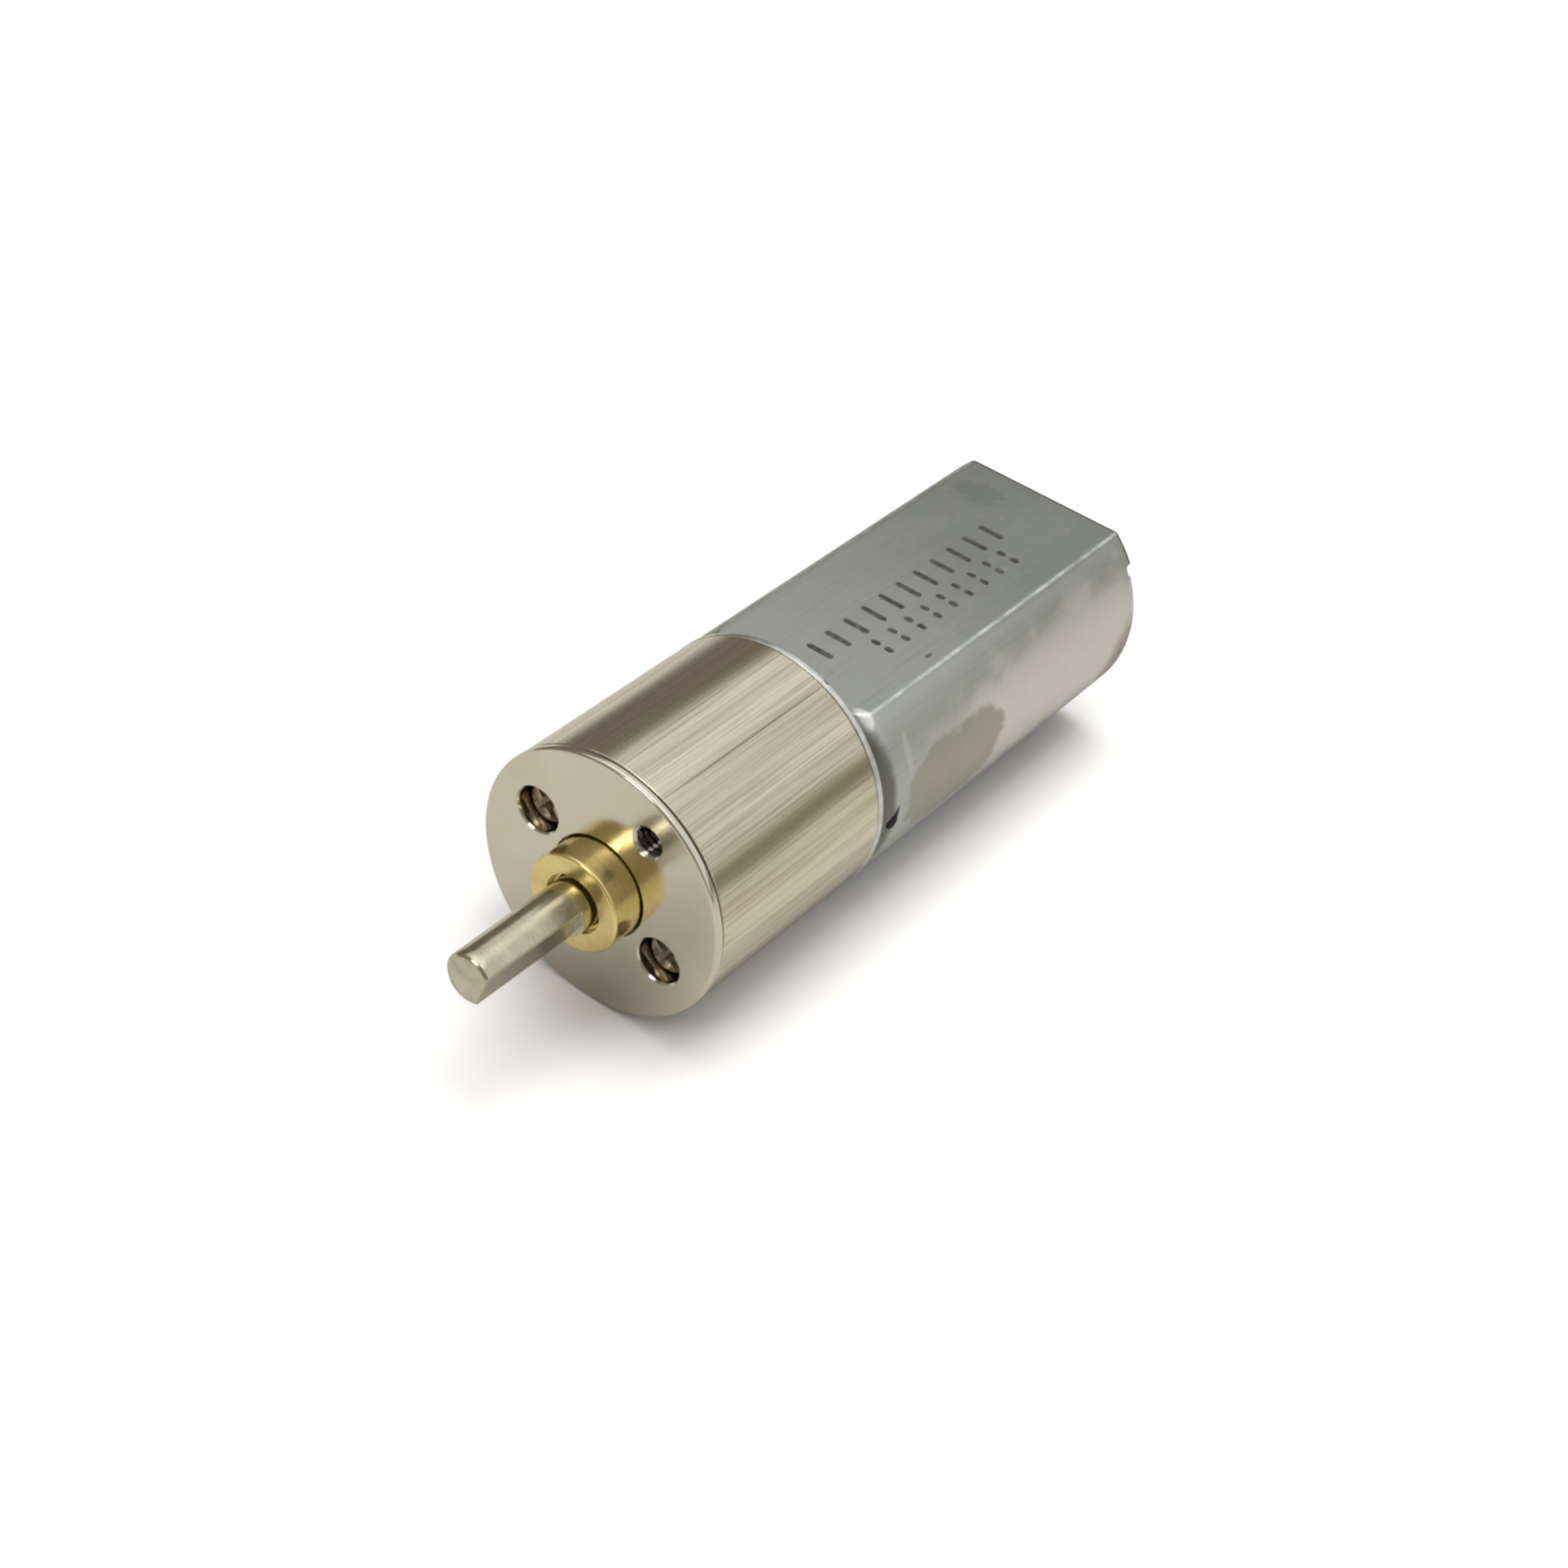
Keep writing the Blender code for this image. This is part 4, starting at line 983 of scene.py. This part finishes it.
def commutator_hub():
    node, barrel_r, collar_r = "commutator_hub", 1.3, 2.0
    low, high = span(node)
    step = low.y + 0.7
    hub = turned("fine_" + node, [
        (barrel_r, high.y, 0.05), (barrel_r, step, 0.05), (collar_r, step, 0.08),
        (collar_r, low.y, 0.08), (ROTOR_BORE, low.y, 0.05), (ROTOR_BORE, high.y, 0.05)], 96)
    place(hub, node)


def curved_slab(node, outer, inner, middle, half_angle, rounding):
    """A slab bent round the motor's axis: a magnet, or a segment of the commutator."""
    low, high = span(node)
    outline = arc(outer, middle - half_angle, middle + half_angle, 40)
    outline += arc(inner, middle + half_angle, middle - half_angle, 40)
    piece = prism("fine_" + node, outline, low.y, high.y)
    soften(piece, rounding, 3, 50.0)
    place(piece, node)


def rotor_core():
    """Three T-shaped poles round a hub, with a bore for the shaft."""
    hub, neck, shoe, rim, half_span = 1.7, 0.8, 3.9, 4.75, 50.0
    low, high = span("rotor_core")
    foot, head = (math.degrees(math.asin(neck / radius)) for radius in (hub, shoe))
    outline = []
    for middle in POLE_ANGLES:
        outline.append(polar(hub, middle - foot))
        outline += arc(shoe, middle - head, middle - half_span, 12)
        outline += arc(rim, middle - half_span, middle + half_span, 40)
        outline += arc(shoe, middle + half_span, middle + head, 12)
        outline.append(polar(hub, middle + foot))
    core = prism("fine_rotor_core", outline, low.y, high.y)
    boolean(core, [prism("core_bore", arc(ROTOR_BORE, 0.0, 352.5, 47), low.y - 1.0, high.y + 1.0)])
    soften(core, 0.08, 2, 50.0)
    place(core, "rotor_core")


def coil(node, turn):
    """A winding: a bundle of wires laid round the neck of one pole."""
    rows = ((0.35, -0.675, 0.0, 0.15, 10), (0.28, 0.68, -0.14, 0.0, 5))
    section = []
    for index, facing in enumerate((0.0, 90.0, 180.0, 270.0)):
        first_u, first_v, step_u, step_v, wires = rows[index % 2]
        sign = 1 if index < 2 else -1
        for wire in range(wires):
            centre = (sign * (first_u + step_u * wire), sign * (first_v + step_v * wire))
            section += arc(WIRE_R, facing - 80.0, facing + 80.0, 4, centre)
    low, high = span("winding_1")
    height, middle_y = (low.z + high.z) / 2, (low.y + high.y) / 2
    half_width, half_length, bend = 1.275, (high.y - low.y) / 2 - 0.425, 0.6
    path = rounded([(u * half_width, v * half_length, bend)
                    for u, v in ((-1, -1), (1, -1), (1, 1), (-1, 1))], 7)
    rings = []
    for index, (across, along) in enumerate(path):
        here = Vector((across, along))
        before, after = here - Vector(path[index - 1]), Vector(path[(index + 1) % len(path)]) - here
        heading = (before.normalized() + after.normalized()).normalized()
        outline = rotated([(height + up, across + heading.y * outward)
                           for outward, up in section], turn)
        rings.append([(x, middle_y + along - heading.x * outward, z)
                      for (x, z), (outward, up) in zip(outline, section)])
    place(skin("fine_" + node, rings, looped=True), node)


def edged(node, rounding):
    """A CAD node's own shape, with its outward edges rounded."""
    shape = bmesh.new()
    shape.from_mesh(frame["nodes"][node].data)
    bmesh.ops.remove_doubles(shape, verts=shape.verts, dist=SMALLEST * MM)
    bmesh.ops.dissolve_limit(shape, angle_limit=math.radians(1.0), verts=shape.verts,
                             edges=shape.edges)
    outward = [edge for edge in shape.edges
               if edge.is_convex and edge.calc_face_angle(0.0) > SHARP_ANGLE]
    bmesh.ops.bevel(shape, geom=outward, offset=rounding * MM, offset_type="OFFSET", segments=2,
                    profile=0.5, affect="EDGES", clamp_overlap=True)
    obj = object_from(shape, "fine_" + node)
    rework(obj, close_slits)
    place(obj, node)


def involute(angle):
    return math.tan(angle) - angle


def tooth_tip(teeth):
    return MODULE * (teeth / 2 + 1.0 + TOOTH_SHIFTS[teeth])


def tooth_phase(node, teeth, centre):
    """Where a tooth of a CAD gear points, in radians: the middle of the corners of its tips."""
    corners = set()
    for vertex in frame["nodes"][node].data.vertices:
        x, z = vertex.co.x / MM - centre[0], vertex.co.z / MM - centre[1]
        if abs(math.hypot(x, z) - tooth_tip(teeth)) < 0.01:
            corners.add((round(x, 3), round(z, 3)))
    turns = [math.atan2(z, x) * teeth for x, z in corners]
    return math.atan2(sum(map(math.sin, turns)), sum(map(math.cos, turns))) / teeth


def toothed_outline(teeth, phase, centre, lowered):
    """Involute teeth with rounded roots, their tips lowered by a chamfer."""
    shift = TOOTH_SHIFTS[teeth]
    pitch_r = MODULE * teeth / 2
    base_r = pitch_r * math.cos(PRESSURE_ANGLE)
    root_r = pitch_r + MODULE * (shift - 1.25)
    top_r = tooth_tip(teeth) - lowered
    at_base = (math.pi / 2 + 2 * shift * math.tan(PRESSURE_ANGLE)) / teeth
    at_base += involute(PRESSURE_ANGLE) - BACKLASH / (2 * pitch_r)
    flank = [(root_r, at_base, 0.04)]
    steps = 5
    for step in range(steps + 1):
        radius = base_r + (top_r - base_r) * step / steps
        half = at_base - involute(math.acos(base_r / radius))
        flank.append((radius, half, 0.02 if step == steps else 0.0))
    corners = []
    for tooth in range(teeth):
        middle = phase + 2 * math.pi * tooth / teeth
        sides = [(r, middle - half, fillet) for r, half, fillet in flank]
        sides += [(r, middle + half, fillet) for r, half, fillet in reversed(flank)]
        corners += [(centre[0] + r * math.cos(a), centre[1] + r * math.sin(a), fillet)
                    for r, a, fillet in sides]
    return rounded(corners, 2)


def toothed_bar(node, teeth, centre, y0, y1):
    """Teeth along Y, with a chamfer at both ends."""
    phase, chamfer = tooth_phase(node, teeth, centre), 0.06
    stations = ((y0, chamfer), (y0 + chamfer, 0.0), (y1 - chamfer, 0.0), (y1, chamfer))
    return bar("fine_" + node, [(y, toothed_outline(teeth, phase, centre, lowered))
                                for y, lowered in stations])


def gear(node, bore, wheel_width):
    """A wheel, a pinion, or a wheel with a pinion in front of it, on one bore."""
    low, high = span(node)
    centre = mid_point(node)
    wheel_front = high.y - wheel_width
    bars = []
    if wheel_width > 0.0:
        bars.append(toothed_bar(node, WHEEL_TEETH, centre, wheel_front, high.y))
    if wheel_front > low.y + 0.1:
        pinion_back = min(wheel_front + 0.3, high.y)
        bars.append(toothed_bar(node, PINION_TEETH, centre, low.y, pinion_back))
    piece = bars[0]
    if len(bars) > 1:
        boolean(piece, bars[1:], "UNION")
    boolean(piece, [drill("gear_bore", bore, low.y - PAST, high.y + PAST, 64, centre)])
    place(piece, node)


def inner_pieces():
    """Every piece that the closed housings hide."""
    for bore, nodes in SLEEVES.items():
        for node in nodes:
            sleeve(node, bore)
    for node in ("gear_pin_a", "gear_pin_b", "rotor_shaft"):
        pin(node)
    for side, middle in (("left", 180.0), ("right", 0.0)):
        pillar(side)
        curved_slab("magnet_" + side, CAN_R - CAN_WALL - 0.05, 5.15, middle, 42.0, 0.25)
        edged("brush_arm_" + side, 0.05)
        edged("carbon_brush_" + side, 0.07)
    commutator_hub()
    rotor_core()
    for index, angle in enumerate(POLE_ANGLES, start=1):
        curved_slab(f"commutator_segment_{index}", 1.66, 1.36, angle - 60.0, 54.0, 0.05)
        coil(f"winding_{index}", angle)
    for node, (bore, wheel_width) in GEARS.items():
        gear(node, bore, wheel_width)


# ---- Studio ----
def make_floor():
    """A pale floor that looks white to the camera and a softer grey in the metal's reflections."""
    shape = bmesh.new()
    bmesh.ops.create_grid(shape, x_segments=8, y_segments=8, size=1.2)
    floor = object_from(shape, "floor")
    floor.location.z = cad_box[0].z
    material = bpy.data.materials.new("floor")
    material.use_nodes = True
    tree = material.node_tree
    tree.nodes.remove(tree.nodes["Principled BSDF"])
    graph = Graph(tree)
    reflected, seen = (graph.node("ShaderNodeBsdfDiffuse", {"Color": colour}).outputs[0]
                       for colour in ((0.42, 0.41, 0.385), (0.765, 0.757, 0.752)))
    to_camera = graph.node("ShaderNodeLightPath").outputs["Is Camera Ray"]
    mixed = graph.node("ShaderNodeMixShader", {0: to_camera, 1: reflected, 2: seen})
    graph.feed(tree.nodes["Material Output"].inputs["Surface"], mixed.outputs[0])
    floor.data.materials.append(material)


def make_world():
    """A bright room above a darker horizon, which stands higher on the left than on the right.

    It is darker in front and brightest overhead, most of all for the floor. The camera sees a
    plain pale room.
    """
    world = bpy.data.worlds.new("studio")
    world.use_nodes = True
    bpy.context.scene.world = world
    graph = Graph(world.node_tree)
    direction = graph.node("ShaderNodeTexCoord").outputs["Generated"]
    parts = graph.node("ShaderNodeSeparateXYZ", {0: direction}).outputs
    tilt = graph.maths("MULTIPLY_ADD", parts["X"], 0.29, parts["Z"])
    side = graph.remap(parts["X"], -0.7, 0.7)
    horizon = graph.mix(side, (0.19, 0.16, 0.135), (0.27, 0.255, 0.175))
    above = graph.remap(tilt, 0.33, 0.47, smooth=True)
    room = graph.mix(above, horizon, (0.80, 0.80, 0.79))
    overhead = graph.remap(parts["Z"], 0.76, 0.88, smooth=True)
    room = graph.mix(overhead, room, (1.35, 1.35, 1.35))
    front = graph.remap(parts["Y"], -0.15, -0.55, smooth=True)
    room = graph.mix(front, room, (0.27, 0.25, 0.21))
    path = graph.node("ShaderNodeLightPath").outputs
    onto_floor = graph.maths("MULTIPLY", overhead, path["Is Diffuse Ray"])
    room = graph.mix(onto_floor, room, (2.35, 2.35, 2.35))
    shown = graph.mix(path["Is Camera Ray"], room, (0.79, 0.785, 0.775))
    graph.feed(world.node_tree.nodes["Background"].inputs["Color"], shown)


def area_light(name, place_mm, size_mm, power, colour, mirrored):
    """A square softbox that faces the middle of the drive, and shows in the metal if mirrored."""
    light = configured(bpy.data.lights.new(name, "AREA"), shape="SQUARE", size=size_mm * MM,
                       energy=power, color=colour)
    place_m, target = Vector(place_mm) * MM, Vector((0.0, 27.0, 0.0)) * MM
    facing = (target - place_m).to_track_quat("-Z", "Y")
    configured(linked(name, light), location=place_m, visible_glossy=mirrored,
               rotation_mode="QUATERNION", rotation_quaternion=facing)


def make_camera():
    """The camera, placed by its angles about a point on the drive."""
    azimuth, elevation, roll = (math.radians(a) for a in (31.47, 39.13, 9.38))
    distance, aim_right, aim_down = 147.3, 0.70, 1.37
    turn = (Matrix.Rotation(azimuth, 4, "Z") @ Matrix.Rotation(math.pi / 2 - elevation, 4, "X")
            @ Matrix.Rotation(roll, 4, "Z"))
    place_mm = Vector((0.0, 25.0, 0.0)) + turn @ Vector((aim_right, -aim_down, distance))
    camera = configured(bpy.data.cameras.new("camera"), sensor_width=36.0, lens=60.31,
                        clip_start=0.01, clip_end=10.0)
    pose = Matrix.Translation(place_mm * MM) @ turn
    bpy.context.scene.camera = configured(linked("camera", camera), matrix_world=pose)


MATERIALS = make_materials()
make_camera()
make_world()
make_floor()
area_light("key", (0.0, 95.0, 380.0), 240.0, 0.95, (1.0, 0.985, 0.96), False)
area_light("front", (-60.0, -330.0, 300.0), 150.0, 0.34, (1.0, 0.99, 0.97), True)
bpy.context.scene.view_settings.view_transform = "Standard"

front_plate()
output_bush()
for side, turn in SCREW_TURNS.items():
    screw("case_screw_" + side, "screw_" + side, FACE_Y + SCREW_BORE_DEPTH - 0.05, 0.92, turn)
    screw("motor_screw_" + side, "fine_motor_screw_" + side, ring_low.y - 0.05, 0.7, turn)
gear_tube()
rear_plate()
output_shaft()
motor_can()
end_cap()
for side in SIDES:
    terminal(side)
ink_marks()
inner_pieces()
